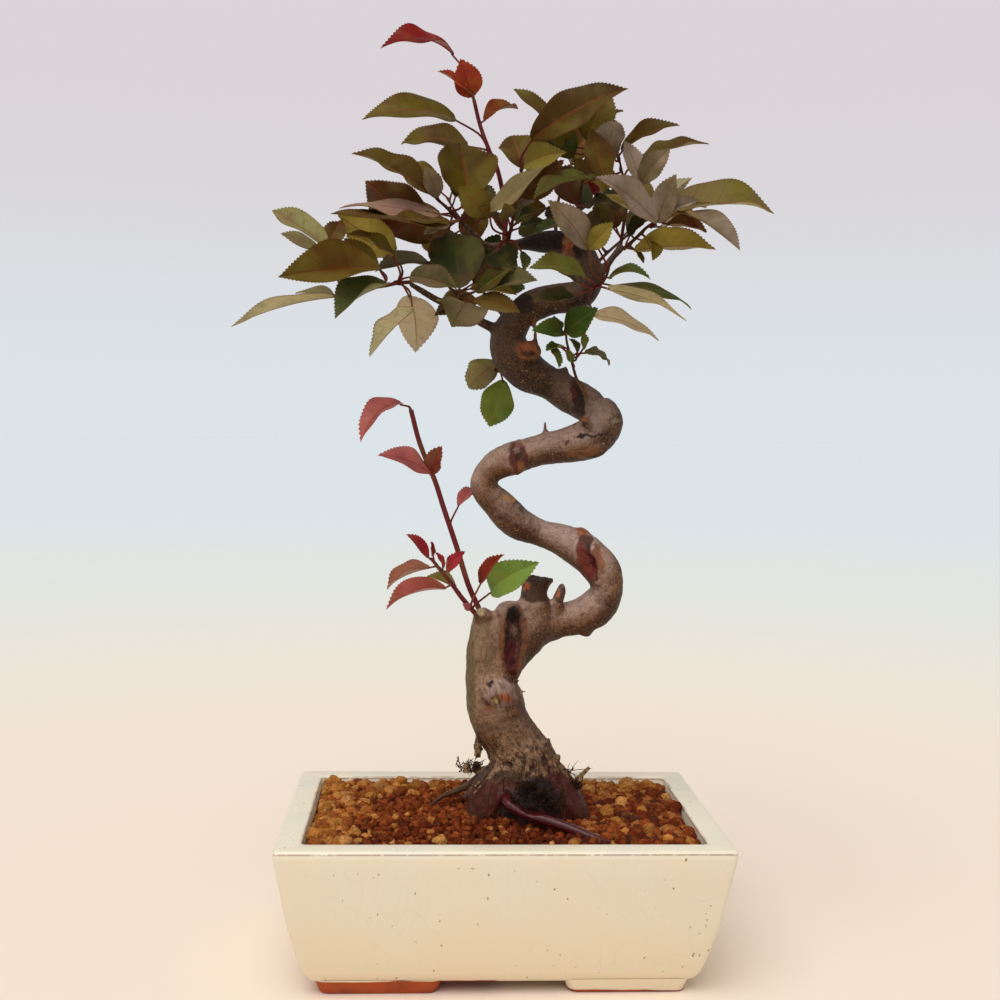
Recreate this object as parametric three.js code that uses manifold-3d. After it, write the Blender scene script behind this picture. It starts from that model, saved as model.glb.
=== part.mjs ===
// An apple tree trained as a bonsai, planted in a rectangular glazed pot on four feet.
// The trunk coils twice on its way up, and the crown is a loose head of bronze and olive leaves.
// Millimetres. X runs along the pot, Y away from the viewer, Z up, with the origin on the ground
// below the middle of the pot.
import * as THREE from "three";
import Module from "manifold-3d";

const wasm = await Module();
wasm.setup();

// Driving dimensions of the pot.
const POT_LENGTH = 180;
const POT_DEPTH = 119.2;
const POT_HEIGHT = 62;
const RIM_WIDTH = 9.8;
const FOOT_HEIGHT = 5;
const FLOOR_THICKNESS = 6.5;
const WALL_LEAN = 14.6; // how far the wall draws in from rim to underside
const DRAIN_RADIUS = 7;
const DRAIN_SPACING = 84;

// Driving dimensions of the planting.
const SOIL_LEVEL = 59.6;
const GRAIN_PITCH = 6.2;
const GRAIN_RELIEF = 2.3;
const GAP = 0.35; // air between neighbouring pieces

// Driving dimensions of the foliage.
const BLADE_THICKNESS = 0.68;
const BLADE_RATIO = 0.52; // breadth of a blade over its length
const BLADE_FOLD = 0.3; // radians that each half is raised above the midrib
const STALK_HALF = 0.55;

// Places on the tree are given as they are seen from the front: u and v in a frame of 1000 units
// with v downwards, and y the depth in millimetres. The viewpoint turns them into space.
const VIEWPOINT = new THREE.Vector3(-34, -551, 224);
const VIEW_YAW = THREE.MathUtils.degToRad(3.31);
const VIEW_PITCH = THREE.MathUtils.degToRad(3.06);
const VIEW_ROLL = THREE.MathUtils.degToRad(1.02);
const VIEW_FOCAL = 1300;
const VIEW_CENTRE = 500;

const forward = new THREE.Vector3(
  Math.sin(VIEW_YAW) * Math.cos(VIEW_PITCH),
  Math.cos(VIEW_YAW) * Math.cos(VIEW_PITCH),
  -Math.sin(VIEW_PITCH),
);
const level = new THREE.Vector3(Math.cos(VIEW_YAW), -Math.sin(VIEW_YAW), 0);
const upright = new THREE.Vector3().crossVectors(level, forward);
const across = level.clone().applyAxisAngle(forward, -VIEW_ROLL);
const upwards = upright.clone().applyAxisAngle(forward, -VIEW_ROLL);

// The point in space that is seen at (u, v) and lies at depth y.
function seen(u, v, y) {
  const ray = forward.clone();
  ray.addScaledVector(across, (u - VIEW_CENTRE) / VIEW_FOCAL);
  ray.addScaledVector(upwards, (VIEW_CENTRE - v) / VIEW_FOCAL);
  return VIEWPOINT.clone().addScaledVector(ray, (y - VIEWPOINT.y) / ray.y);
}

// A repeatable draw between 0 and 1.
function dice(seed) {
  let state = seed;
  return () => {
    state = (state + 0x6d2b79f5) | 0;
    let mixed = Math.imul(state ^ (state >>> 15), 1 | state);
    mixed = (mixed + Math.imul(mixed ^ (mixed >>> 7), 61 | mixed)) ^ mixed;
    return ((mixed ^ (mixed >>> 14)) >>> 0) / 4294967296;
  };
}

// Solids from points and triangles, and back to a mesh.
function solidFrom(points, triangles) {
  const vertProperties = new Float32Array(points.length * 3);
  points.forEach((p, i) => p.toArray(vertProperties, 3 * i));
  const triVerts = new Uint32Array(triangles.flat());
  return new wasm.Manifold(new wasm.Mesh({ numProp: 3, vertProperties, triVerts }));
}

function meshFrom(name, solid, material) {
  const { vertProperties, triVerts } = solid.getMesh();
  const geometry = new THREE.BufferGeometry();
  geometry.setAttribute("position", new THREE.BufferAttribute(vertProperties, 3));
  geometry.setIndex(new THREE.BufferAttribute(triVerts, 1));
  geometry.computeVertexNormals();
  const mesh = new THREE.Mesh(geometry, material);
  mesh.name = name;
  return mesh;
}

function fuse(solids) {
  return wasm.Manifold.union(solids);
}

// The main body of a solid, without the crumbs that a cut may leave.
function largestBody(solid) {
  return solid.decompose().sort((a, b) => b.volume() - a.volume())[0];
}

// A skin over rings of equal count, closed by a flat cap at each end.
function loft(rings) {
  const count = rings[0].length;
  const points = rings.flat();
  const triangles = [];
  for (let i = 0; i + 1 < rings.length; i += 1) {
    for (let j = 0; j < count; j += 1) {
      const a = i * count + j;
      const b = i * count + ((j + 1) % count);
      triangles.push([a, b, b + count], [a, b + count, a + count]);
    }
  }
  const last = (rings.length - 1) * count;
  for (let j = 1; j + 1 < count; j += 1) {
    triangles.push([0, j + 1, j], [last, last + j, last + j + 1]);
  }
  return solidFrom(points, triangles);
}

// A round limb along knots { at, r }. Each ring lies in the plane that halves the bend.
function limb(knots, sides, grow = 0) {
  const rings = [];
  let side = null;
  knots.forEach(({ at, r }, i) => {
    const back = knots[Math.max(i - 1, 0)].at;
    const ahead = knots[Math.min(i + 1, knots.length - 1)].at;
    const before = i > 0 ? at.clone().sub(back).normalize() : ahead.clone().sub(at).normalize();
    const after = i + 1 < knots.length ? ahead.clone().sub(at).normalize() : before;
    const run = before.clone().add(after).normalize();
    if (!side) side = new THREE.Vector3(run.z, 0.2, -run.x);
    side.addScaledVector(run, -side.dot(run)).normalize();
    const other = new THREE.Vector3().crossVectors(run, side);
    const mitre = after.clone().sub(before);
    const stretch = 1 / Math.max(run.dot(after), 0.7) - 1;
    if (mitre.lengthSq() > 1e-8) mitre.normalize();
    const ring = [];
    for (let k = 0; k < sides; k += 1) {
      const turn = (2 * Math.PI * k) / sides;
      const spoke = side.clone().multiplyScalar(Math.cos(turn));
      spoke.addScaledVector(other, Math.sin(turn));
      spoke.addScaledVector(mitre, spoke.dot(mitre) * stretch);
      ring.push(at.clone().addScaledVector(spoke, r + grow));
    }
    rings.push(ring);
  });
  return loft(rings);
}

// Knots read off the view as [u, v, y, radius].
function knotsFrom(rows) {
  return rows.map(([u, v, y, r]) => ({ at: seen(u, v, y), r }));
}

// An egg-shaped lump with half-axes along X, Y and Z, leaning about Y. It is built in rings
// from its inner to its outer pole, along the line of sight.
function lump(u, v, y, halves, lean = 0) {
  const centre = seen(u, v, y);
  const rings = [-0.8, 0.2, 1].map((depth) => {
    const reach = Math.sqrt(Math.max(1 - depth * depth, 0.06));
    const ring = [];
    for (let k = 0; k < 7; k += 1) {
      const turn = (2 * Math.PI * (k + depth)) / 7;
      const p = new THREE.Vector3(Math.cos(turn) * reach, -depth, Math.sin(turn) * reach);
      p.multiply(new THREE.Vector3(...halves)).applyAxisAngle(new THREE.Vector3(0, 1, 0), lean);
      ring.push(p.add(centre));
    }
    return ring;
  });
  return loft(rings);
}

// The pot: one skin from the underside up the leaning wall, over the rim and down inside.
function roundedLoop(halfX, halfY, radius, z, steps = 2) {
  const loop = [];
  const corners = [[1, 1, 0], [-1, 1, 90], [-1, -1, 180], [1, -1, 270]];
  for (const [sx, sy, start] of corners) {
    for (let k = 0; k <= steps; k += 1) {
      const turn = THREE.MathUtils.degToRad(start + (90 * k) / steps);
      const x = sx * (halfX - radius) + radius * Math.cos(turn);
      const y = sy * (halfY - radius) + radius * Math.sin(turn);
      loop.push(new THREE.Vector3(x, y, z));
    }
  }
  return loop;
}

function potLoop(inset, radius, z) {
  return roundedLoop(POT_LENGTH / 2 - inset, POT_DEPTH / 2 - inset, radius, z);
}

const POT_FLOOR = FOOT_HEIGHT + FLOOR_THICKNESS;
const CAVITY_TOP_INSET = RIM_WIDTH;
const CAVITY_FLOOR_INSET = RIM_WIDTH + 9;

function makePot() {
  const outside = [
    [WALL_LEAN, 6, FOOT_HEIGHT],
    [WALL_LEAN - 2.2, 6, FOOT_HEIGHT + 1.6],
    [WALL_LEAN - 4.1, 5.5, FOOT_HEIGHT + 5],
    [WALL_LEAN - 6.4, 5, FOOT_HEIGHT + 12],
    [WALL_LEAN - 9.9, 3.6, FOOT_HEIGHT + 26],
    [WALL_LEAN - 13, 2.4, FOOT_HEIGHT + 43],
    [-0.2, 2, POT_HEIGHT - 3.4],
    [0, 1.8, POT_HEIGHT - 0.9],
    [0.9, 1.6, POT_HEIGHT],
  ];
  const inside = [
    [CAVITY_TOP_INSET - 0.8, 2.6, POT_HEIGHT],
    [CAVITY_TOP_INSET, 2.4, POT_HEIGHT - 0.9],
    [CAVITY_FLOOR_INSET, 2.4, POT_FLOOR],
  ];
  const rings = [...outside, ...inside].map(([inset, radius, z]) => potLoop(inset, radius, z));
  const body = loft(rings);
  const footLength = 51;
  const footDepth = 27;
  const footMiddleX = 49.6;
  const footMiddleY = POT_DEPTH / 2 - WALL_LEAN + 2 - footDepth / 2;
  const feet = [];
  const drains = [];
  for (const sx of [-1, 1]) {
    for (const sy of [-1, 1]) {
      const shape = [[2, 0], [0.6, 1.8], [0, FOOT_HEIGHT + 1.2]].map(([draw, z]) =>
        roundedLoop(footLength / 2 - draw, footDepth / 2 - draw, 3.5, z, 1).map((p) =>
          p.add(new THREE.Vector3(sx * footMiddleX, sy * footMiddleY, 0)),
        ),
      );
      feet.push(loft(shape));
    }
    const low = new THREE.Vector3((sx * DRAIN_SPACING) / 2, 0, 0);
    const high = low.clone().setZ(POT_FLOOR + 5);
    drains.push(limb([{ at: low, r: DRAIN_RADIUS }, { at: high, r: DRAIN_RADIUS }], 12));
  }
  return fuse([body, ...feet]).subtract(fuse(drains));
}

// A square of plastic mesh lying on the floor over each drain hole.
const SCREEN_HALF = 11;
const SCREEN_THICKNESS = 0.9;
const SCREEN_LOW = POT_FLOOR + GAP;

function boxBetween(low, high) {
  const size = new THREE.Vector3().subVectors(high, low);
  const middle = new THREE.Vector3().addVectors(low, high).multiplyScalar(0.5);
  const corners = [[-1, -1], [1, -1], [1, 1], [-1, 1]];
  const ring = (z) => corners.map(([x, y]) =>
    new THREE.Vector3(middle.x + (x * size.x) / 2, middle.y + (y * size.y) / 2, z));
  return loft([ring(low.z), ring(high.z)]);
}

function makeScreen(x) {
  const low = new THREE.Vector3(x - SCREEN_HALF, -SCREEN_HALF, SCREEN_LOW);
  const high = new THREE.Vector3(x + SCREEN_HALF, SCREEN_HALF, SCREEN_LOW + SCREEN_THICKNESS);
  const plate = boxBetween(low, high);
  const openings = [];
  const pitch = 9.6;
  const half = 3.8;
  for (let i = -0.5; i <= 0.5; i += 1) {
    for (let j = -0.5; j <= 0.5; j += 1) {
      const middle = new THREE.Vector3(x + i * pitch, j * pitch, 0);
      const from = middle.clone().add(new THREE.Vector3(-half, -half, SCREEN_LOW - 1));
      const to = middle.clone().add(new THREE.Vector3(half, half, SCREEN_LOW + 2));
      openings.push(boxBetween(from, to));
    }
  }
  return plate.subtract(fuse(openings));
}

// The tree's wood: bole, coiled limbs, side branches, stubs and surface roots in one grown piece.
const BOLE = [
  [528, 868, 2, 19], [527, 830, 1, 24], [526, 803, 0, 23], [524, 781, 0, 18.6], [521, 760, 0, 15],
  [514, 740, 0, 12.8], [502, 720, 0, 13], [494, 700, 0, 12.5], [489, 680, 0, 10.2],
  [486, 660, 0, 8.4], [487, 640, 0, 6.7], [488, 620, 0, 5.7], [489, 606, 0, 4.6],
];
const LOWER_COIL = [
  [499, 690, -1, 6], [511, 658, -1, 9.3], [529, 632, 0, 11.4], [556, 621, 2, 7.6],
  [578, 617, 1, 7.4], [597, 607, -2, 8.2], [607, 590, -5, 6.8], [606, 568, -5, 7],
  [597, 550, -3, 7.3], [580, 541, 0, 7.6], [560, 537, 2, 6.2], [540, 534, 4, 5.9],
  [519, 524, 4, 7], [503, 509, 3, 7.2], [484, 488, 0, 5.6], [487, 474, -1, 5.6],
  [500, 463, -3, 6.4], [514, 458, -4, 7], [538, 450, -6, 6.6], [567, 445, -7, 7.6],
  [590, 438, -8, 8.6], [604, 422, -8, 8.2], [597, 407, -4, 6.6],
];
const UPPER_COIL = [
  [598, 424, -6, 5], [588, 406, 0, 7.6], [568, 394, 6, 7.6], [549, 383, 8, 7.2],
  [528, 372, 7, 8.6], [513, 356, 4, 8.8], [508, 338, 3, 7.5], [518, 318, 1, 6.6],
  [535, 305, -2, 6.8], [555, 299, -4, 6.4], [577, 296, -6, 6.4], [589, 284, -5, 5.6],
  [589, 267, -3, 5.4], [580, 252, 2, 5.4], [562, 243, 4, 5.2], [540, 242, 5, 4.6],
  [522, 244, 5, 2.6], [507, 246, 3, 2.1], [493, 247, 1, 1.9],
];
const BRANCHES = [
  [[505, 333, 4, 2.6], [481, 322, 0, 2.1], [458, 309, -6, 1.8], [437, 300, -10, 1.6],
    [422, 291, -14, 1.5], [409, 283, -17, 1.2]],
  [[499, 247, 2, 1.8], [484, 245, 0, 1.7], [474, 234, -2, 1.5], [463, 224, -4, 1.1]],
  [[588, 280, -5, 2.6], [598, 276, -7, 2.2], [607, 265, -7, 1.8], [613, 257, -6, 1.6],
    [620, 249, -5, 1.8]],
];
// Short stumps that each leafy shoot stands on, and dead ones.
const STUMPS = [
  [[500, 247, 3, 1.6], [504, 241, 4, 1]],
  [[504, 247, 1, 1.6], [507, 244, -1, 1]],
  [[577, 250, 3, 2.4], [575, 233, 4, 1]],
  [[619, 249, -5, 1.5], [621, 241.5, -4, 1]],
  [[620, 249, -5, 1.5], [625, 247, -6.5, 1]],
  [[588, 288, -6, 2], [588, 290, -12, 1]],
  [[459, 309, -6, 1.4], [460, 303, -8, 1]],
  [[594, 410, -8, 2], [586.5, 396, -8.5, 1]],
  [[512, 366, 6, 3], [504, 371, 12, 1.2]],
  [[482, 618, -1, 2.5], [478, 607, -1, 1]],
  [[480, 620, -3, 2.5], [473, 611, -6, 1]],
  [[508, 326, 3, 3], [506, 320, 12, 1.1]],
  [[589, 272, -3, 3], [592, 269, 5, 1.1]],
  [[558, 242, 4, 3], [556, 237, 11, 1.1]],
  [[480, 243, 0, 1.4], [478, 240, 6, 1]],
  [[473, 320, -2, 1.3], [465, 328, -5, 0.7]],
  [[540, 614, -2, 6], [539, 599, -3, 5.6], [538, 586, -3, 6], [537.5, 577, -3, 7.4]],
  [[556, 614, -2, 2.8], [557, 600, -4, 2.3], [560, 591, -4, 2], [562, 586, -4, 1.1]],
  [[489, 617, -3, 3], [481, 609, -4, 1.9]],
  [[591, 428, -14, 2.6], [581, 417, -16, 1.3]],
  [[546, 447, -8, 2], [545, 433, -9, 1.3], [545.5, 421, -9, 0.6]],
  [[553, 378, 7, 3], [568, 369, 6, 1.6]],
  [[536, 352, 0, 1.5], [535, 330, -3, 1], [534, 312, -4, 1.1]],
  [[566, 252, 1, 3], [571, 238, 0, 2]],
  [[546, 756, -6, 3], [548, 739, -8, 0.8]],
  [[566, 790, -2, 4], [578, 776, -3, 1.6], [587, 769, -4, 0.6]],
  [[485, 762, 0, 4], [479, 750, -1, 1.2], [478, 738, -1, 1]],
];
const ROOTS = [
  [[505, 764, -3, 8], [490, 790, -9, 9], [480, 816, -13, 8], [474, 842, -14, 6]],
  [[543, 764, -2, 8], [562, 792, -5, 9], [580, 818, -8, 7], [590, 840, -8, 5]],
  [[530, 770, 6, 9], [545, 795, 16, 9], [556, 812, 24, 6], [562, 826, 28, 4]],
  [[512, 772, 6, 9], [490, 792, 15, 8], [468, 806, 22, 5], [450, 818, 26, 3.5]],
  [[486, 776, 2, 3.4], [467, 784, 4, 2], [440, 793, 6, 1.4], [424, 803, 7, 1.2]],
  [[503, 793, -17, 3.6], [508, 805, -22, 2.1], [519, 811, -24, 1.9], [542, 819, -27, 1.8],
    [569, 828, -31, 1.8], [592, 838, -37, 1.7], [611, 845, -40, 1.5], [622, 856, -41, 1.3]],
];
// Healed scars and burrs that stand out: [u, v, y, [half-axes], lean].
const BURRS = [
  [514, 634, -8.3, [6.2, 3.6, 13], -0.06],
  [588, 446, -13.6, [8.4, 3, 5.2], 0.12],
  [518, 457, -9.2, [4.6, 3.4, 8], 0.1],
  [497, 693, -10.4, [7, 3.4, 7], 0.2],
  [583, 529, 0, [3.6, 4.6, 3.4], 0],
  [588, 632, 0, [3.6, 4, 4], 0],
  [528, 351, -3.4, [6, 3, 4.6], 0.1],
];
// Rotten and cut hollows: the same columns.
const HOLLOWS = [
  [514, 632, -12.6, [3.9, 3.8, 10.6], -0.06],
  [543, 794, -23, [9.4, 8, 10], 0.3],
  [587, 556, -8.4, [3.4, 3.4, 9.4], 0.5],
  [497, 702, -14.4, [2.6, 2, 2.2], 0],
  [518, 457, -14, [2.8, 2.4, 5.4], 0.1],
  [528, 351, -7.6, [4.6, 2.6, 3], 0.1],
  [538, 573, -3, [5.6, 5.6, 3], 0],
];

const BOLE_SIDES = 12;
const COIL_SIDES = 8;

function rootSides(rows) {
  const stout = rows[0][3] > 4;
  return stout ? 8 : 6;
}

// The part of the tree that sits in the soil, fatter by grow on every side.
function makeRootMass(grow) {
  const bole = limb(knotsFrom(BOLE.slice(0, 4)), BOLE_SIDES, grow);
  const roots = ROOTS.map((rows) => limb(knotsFrom(rows), rootSides(rows), grow));
  return fuse([bole, ...roots]);
}

function makeTree() {
  const wood = [
    limb(knotsFrom(BOLE), BOLE_SIDES),
    limb(knotsFrom(LOWER_COIL), COIL_SIDES),
    limb(knotsFrom(UPPER_COIL), COIL_SIDES),
    ...ROOTS.map((rows) => limb(knotsFrom(rows), rootSides(rows))),
    ...BRANCHES.map((rows) => limb(knotsFrom(rows), 6)),
    ...STUMPS.map((rows) => limb(knotsFrom(rows), rows[0][3] > 4 ? COIL_SIDES : 5)),
    ...BURRS.map((row) => lump(...row)),
  ];
  return fuse(wood).subtract(fuse(HOLLOWS.map((row) => lump(...row))));
}

// The soil: a bed of baked clay grains, its top a relief of small grains with larger ones on it.
function makeSoil(rootMass) {
  const draw = dice(71);
  const halfX = POT_LENGTH / 2 - CAVITY_TOP_INSET - GAP;
  const halfY = POT_DEPTH / 2 - CAVITY_TOP_INSET - GAP;
  const draft = (CAVITY_FLOOR_INSET - CAVITY_TOP_INSET) / (POT_HEIGHT - 0.9 - POT_FLOOR);
  const loopAt = (z) => {
    const inset = (POT_HEIGHT - 0.9 - z) * draft;
    return roundedLoop(halfX - inset, halfY - inset, 2.4, z);
  };
  const low = POT_FLOOR + GAP;
  const block = loft([loopAt(low), loopAt(POT_HEIGHT - 0.9), loopAt(POT_HEIGHT - 0.9).map((p) =>
    p.clone().setZ(POT_HEIGHT + 6))]);
  const columns = Math.ceil((2 * halfX) / GRAIN_PITCH) + 2;
  const rows = Math.ceil((2 * halfY) / (GRAIN_PITCH * 0.87)) + 2;
  const top = [];
  const bottom = [];
  for (let j = 0; j < rows; j += 1) {
    for (let i = 0; i < columns; i += 1) {
      const shift = j % 2 ? 0.5 : 0;
      const raised = (i + (j % 2 ? 2 : 0) + Math.floor(j / 2)) % 3 === 0 ? 1 : 0;
      const x = (i + shift - columns / 2) * GRAIN_PITCH + (draw() - 0.5) * 1.4;
      const y = (j - rows / 2 + 0.5) * GRAIN_PITCH * 0.87 + (draw() - 0.5) * 1.4;
      const z = SOIL_LEVEL + GRAIN_RELIEF * (raised - 0.5) + (draw() - 0.5) * 1.2;
      top.push(new THREE.Vector3(x, y, z));
      bottom.push(new THREE.Vector3(x, y, low - 2));
    }
  }
  const triangles = [];
  const under = top.length;
  const at = (i, j) => j * columns + i;
  for (let j = 0; j + 1 < rows; j += 1) {
    for (let i = 0; i + 1 < columns; i += 1) {
      const [a, b, c, d] = [at(i, j), at(i + 1, j), at(i + 1, j + 1), at(i, j + 1)];
      const pair = j % 2 ? [[a, b, c], [a, c, d]] : [[a, b, d], [b, c, d]];
      for (const [p, q, r] of pair) {
        triangles.push([p, q, r], [under + p, under + r, under + q]);
      }
    }
  }
  const edge = [];
  for (let i = 0; i + 1 < columns; i += 1) edge.push(at(i, 0));
  for (let j = 0; j + 1 < rows; j += 1) edge.push(at(columns - 1, j));
  for (let i = columns - 1; i > 0; i -= 1) edge.push(at(i, rows - 1));
  for (let j = rows - 1; j > 0; j -= 1) edge.push(at(0, j));
  edge.forEach((p, k) => {
    const q = edge[(k + 1) % edge.length];
    triangles.push([p, under + q, q], [p, under + p, under + q]);
  });
  const bed = solidFrom([...top, ...bottom], triangles);
  const grains = [];
  const grainCount = 12;
  for (let k = 0; k < grainCount; k += 1) {
    const size = 2 + 1.6 * draw();
    const x = (draw() * 2 - 1) * (halfX - 3);
    const y = (draw() * 2 - 1) * (halfY - 3);
    grains.push(makeGrain(new THREE.Vector3(x, y, SOIL_LEVEL + 0.4), size, draw));
  }
  const slots = [-1, 1].map((side) => {
    const middle = (side * DRAIN_SPACING) / 2;
    const reach = SCREEN_HALF + GAP;
    const from = new THREE.Vector3(middle - reach, -reach, low - 2);
    const to = new THREE.Vector3(middle + reach, reach, SCREEN_LOW + SCREEN_THICKNESS + GAP);
    return boxBetween(from, to);
  });
  const soil = fuse([bed, ...grains]).intersect(block).subtract(fuse([rootMass, ...slots]));
  return largestBody(soil);
}

// One larger grain: a worn block, widest at its middle.
function makeGrain(centre, size, draw) {
  const turn = new THREE.Euler(draw() * 3, draw() * 3, draw() * 3);
  const points = [];
  for (const [z, reach] of [[-1, 0.6], [0, 1], [1, 0.65]]) {
    for (let k = 0; k < 4; k += 1) {
      const angle = ((k + z * 0.3) * Math.PI) / 2;
      const spread = reach * (0.85 + 0.3 * draw());
      const p = new THREE.Vector3(Math.cos(angle) * spread, Math.sin(angle) * spread, z * 0.72);
      points.push(p.multiplyScalar(size).applyEuler(turn).add(centre));
    }
  }
  return loft([points.slice(0, 4), points.slice(4, 8), points.slice(8, 12)]);
}

// Foliage. A leaf row is [stalk root u, v, blade base u, v, y, tip u, v, y, breadth seen, arch]:
// the breadth is the one seen from the front, below zero where the underside shows, and the arch
// is how far the midrib bows towards the top face, both in frame units.
const SHOOTS = [
  {
    name: "shoot_top_red", thick: [1, 0.6], colour: "#7d2a22",
    stem: [[504.5, 239, 4], [505, 222, 5], [503, 195, 6], [497, 168, 6], [489, 150, 5],
      [480, 125, 3], [474, 100, 0]],
    leaves: [
      [474, 100, 453, 50, -2, 381, 46, -14, 24, 20],
      [474, 101, 473, 96, 2, 439, 66, -10, 26, 6],
      [480, 124, 484, 120, 5, 518, 109, 16, 10, 6],
      [488, 148, 456, 119, 0, 362, 120, -20, 24, 12],
      [490, 152, 468, 146, 12, 400, 142, 26, 22, 5],
    ],
  },
  {
    name: "spray_upper_left", thick: [1, 0.7], colour: "#5a3a24",
    stem: [[461, 222, -5], [453, 214, -8], [445, 206, -10], [438, 200, -11]],
    leaves: [
      [439, 201, 434, 197, -13, 353, 151, -22, 24, 5],
      [450, 211, 468, 194, -8, 461, 146, 6, 46, 4],
      [447, 208, 452, 196, 6, 438, 156, 26, 30, 4],
      [453, 214, 430, 240, 4, 366, 181, 10, 46, 4],
      [457, 218, 450, 221, -14, 331, 213, -36, 28, 8],
      [457, 218, 450, 227, -2, 424, 234, -12, 10, 2],
    ],
  },
  {
    name: "spray_left", thick: [1.1, 0.6], colour: "#5f4a24",
    stem: [[406.6, 282.4, -18.6], [398, 283, -21], [385, 286, -22], [360, 290, -24], [338, 296, -26]],
    leaves: [
      [398, 283, 396, 252, -10, 338, 214, -2, -40, 5],
      [398, 283, 395, 257, -24, 347, 234, -34, 12, 3],
      [385, 286, 380, 267, -30, 278, 277, -50, 40, 14],
      [350, 292, 323, 251, -24, 272, 210, -16, 22, 4],
      [354, 291, 325, 252, -12, 346, 226, 6, 24, 3],
      [345, 294, 318, 249, -32, 281, 233, -44, 15, 3],
      [338, 296, 333, 297, -27, 231, 326, -36, -10, 8],
      [341, 295, 333, 295, -18, 294, 294, 4, 10, 3],
      [398, 283, 390, 286, -28, 335, 318, -52, 26, 4],
      [400, 283, 410, 278, -28, 457, 289, -46, 28, 3],
      [400, 283, 414, 308, -24, 370, 357, -36, -14, 4],
      [398, 283, 410, 296, -14, 416, 351, 2, -44, 4],
    ],
  },
  {
    name: "spray_left_inner", thick: [1, 0.7], colour: "#4c4a22",
    stem: [[460, 302, -8.3], [453, 292, -12], [442, 277, -13], [431, 266, -13]],
    leaves: [
      [432, 267, 428, 262, -12, 375, 271, -18, 20, 6],
      [432, 267, 425, 261, 0, 378, 262, 12, 10, 3],
      [457, 298, 462, 287, -16, 449, 231, 4, 50, 4],
      [457, 298, 480, 290, -10, 538, 281, -26, 22, 4],
      [457, 298, 470, 288, 4, 517, 294, 14, -14, 3],
      [450, 289, 474, 284, 12, 492, 257, 26, 24, 3],
      [459, 300, 465, 303, -16, 452, 326, -44, 48, 4],
    ],
  },
  {
    name: "spray_centre", thick: [1.1, 0.6], colour: "#55461f",
    stem: [[507.5, 242.4, -1.6], [511, 228, -4], [515, 208, -6], [519, 186, -7], [521, 170, -8]],
    leaves: [
      [509, 236, 487, 218, -16, 475, 178, -22, 40, 4],
      [519, 188, 512, 178, -14, 464, 190, -28, -10, 4],
      [521, 172, 518, 164, -6, 512, 135, 8, 26, 2],
      [521, 170, 526, 163, -14, 566, 153, -30, 18, 6],
      [516, 202, 521, 196, -14, 566, 158, -26, 34, 3],
      [521, 172, 534, 158, 0, 560, 140, 14, 10, 2],
      [521, 170, 531, 139, -10, 627, 86, -22, 46, 5],
      [511, 228, 508, 218, -12, 505, 203, -26, 20, 2],
      [513, 216, 521, 206, 0, 536, 194, 8, 12, 1],
      [511, 228, 517, 223, -10, 541, 212, -22, 8, 3],
      [510, 232, 519, 228, -8, 541, 223, -18, 6, 2],
      [508, 240, 499, 251, -10, 516, 271, -24, 26, 2],
      [508, 240, 522, 251, -14, 524, 271, -22, 12, 2],
      [508, 240, 492, 254, -8, 478, 272, -14, 8, 2],
    ],
  },
  {
    name: "spray_apex", thick: [1.1, 0.6], colour: "#4f4a26",
    stem: [[575, 231.5, 4], [577, 212, 6], [582, 185, 7], [586, 160, 6], [589, 143, 4]],
    leaves: [
      [588, 148, 586, 140, 2, 610, 92, -2, 40, 4],
      [589, 144, 592, 134, 10, 623, 109, 20, 14, 3],
      [586, 162, 573, 158, 0, 548, 122, -2, 30, 3],
      [586, 165, 573, 165, 14, 543, 130, 22, -8, 3],
      [588, 149, 560, 138, 8, 514, 88, 12, 16, 4],
      [583, 178, 590, 176, -2, 573, 158, -16, 20, 3],
      [583, 180, 577, 177, 2, 560, 167, -6, 10, 2],
      [582, 186, 580, 183, 2, 531, 194, -6, 12, 4],
      [577, 214, 573, 221, -2, 534, 234, -16, 8, 3],
      [578, 206, 597, 198, -4, 588, 182, -14, 9, 1],
      [578, 206, 584, 206, -2, 611, 203, -18, 12, 2],
    ],
  },
  {
    name: "spray_right_top", thick: [1, 0.6], colour: "#6a5a48",
    stem: [[621.4, 239.9, -4], [624, 222, -4], [627, 205, -5], [626, 188, -4], [622, 172, -3],
      [619, 158, -1]],
    leaves: [
      [622, 172, 605, 168, -10, 615, 119, -6, 34, 3],
      [626, 192, 606, 182, -20, 592, 129, -18, 30, 3],
      [620, 161, 612, 156, 4, 619, 128, 14, 16, 2],
      [619, 159, 621, 151, 0, 679, 124, -8, 16, 5],
      [624, 180, 640, 160, 4, 709, 141, 14, 8, 4],
      [626, 190, 642, 184, -12, 632, 141, -4, 44, 4],
    ],
  },
  {
    name: "spray_right", thick: [1.1, 0.6], colour: "#6b5a2a",
    stem: [[626.4, 246.6, -6.8], [636, 238, -10], [646, 228, -13], [656, 221, -15], [665, 214, -17]],
    leaves: [
      [650, 226, 655, 219, -24, 599, 178, -38, 50, 4],
      [665, 214, 667, 205, -12, 690, 178, -2, -20, 3],
      [663, 216, 665, 214, -20, 775, 209, -14, 24, 10],
      [664, 215, 686, 212, -26, 740, 250, -44, 17, 5],
      [663, 216, 676, 211, -8, 706, 207, 8, 9, 3],
      [628, 246, 634, 250, -16, 716, 248, -28, -24, 5],
      [656, 221, 667, 224, -10, 707, 232, -2, 12, 3],
      [650, 226, 659, 227, 2, 706, 221, 18, -10, 3],
      [658, 220, 660, 216, -30, 684, 212, -48, 12, 2],
      [628, 245, 628, 238, -16, 650, 212, -26, 14, 2],
      [640, 234, 648, 240, -18, 653, 260, -32, 12, 1],
      [628, 246, 637, 251, -6, 644, 263, -8, 6, 1],
    ],
  },
  {
    name: "spray_limb", thick: [1.2, 0.6], colour: "#5a5228",
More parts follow.
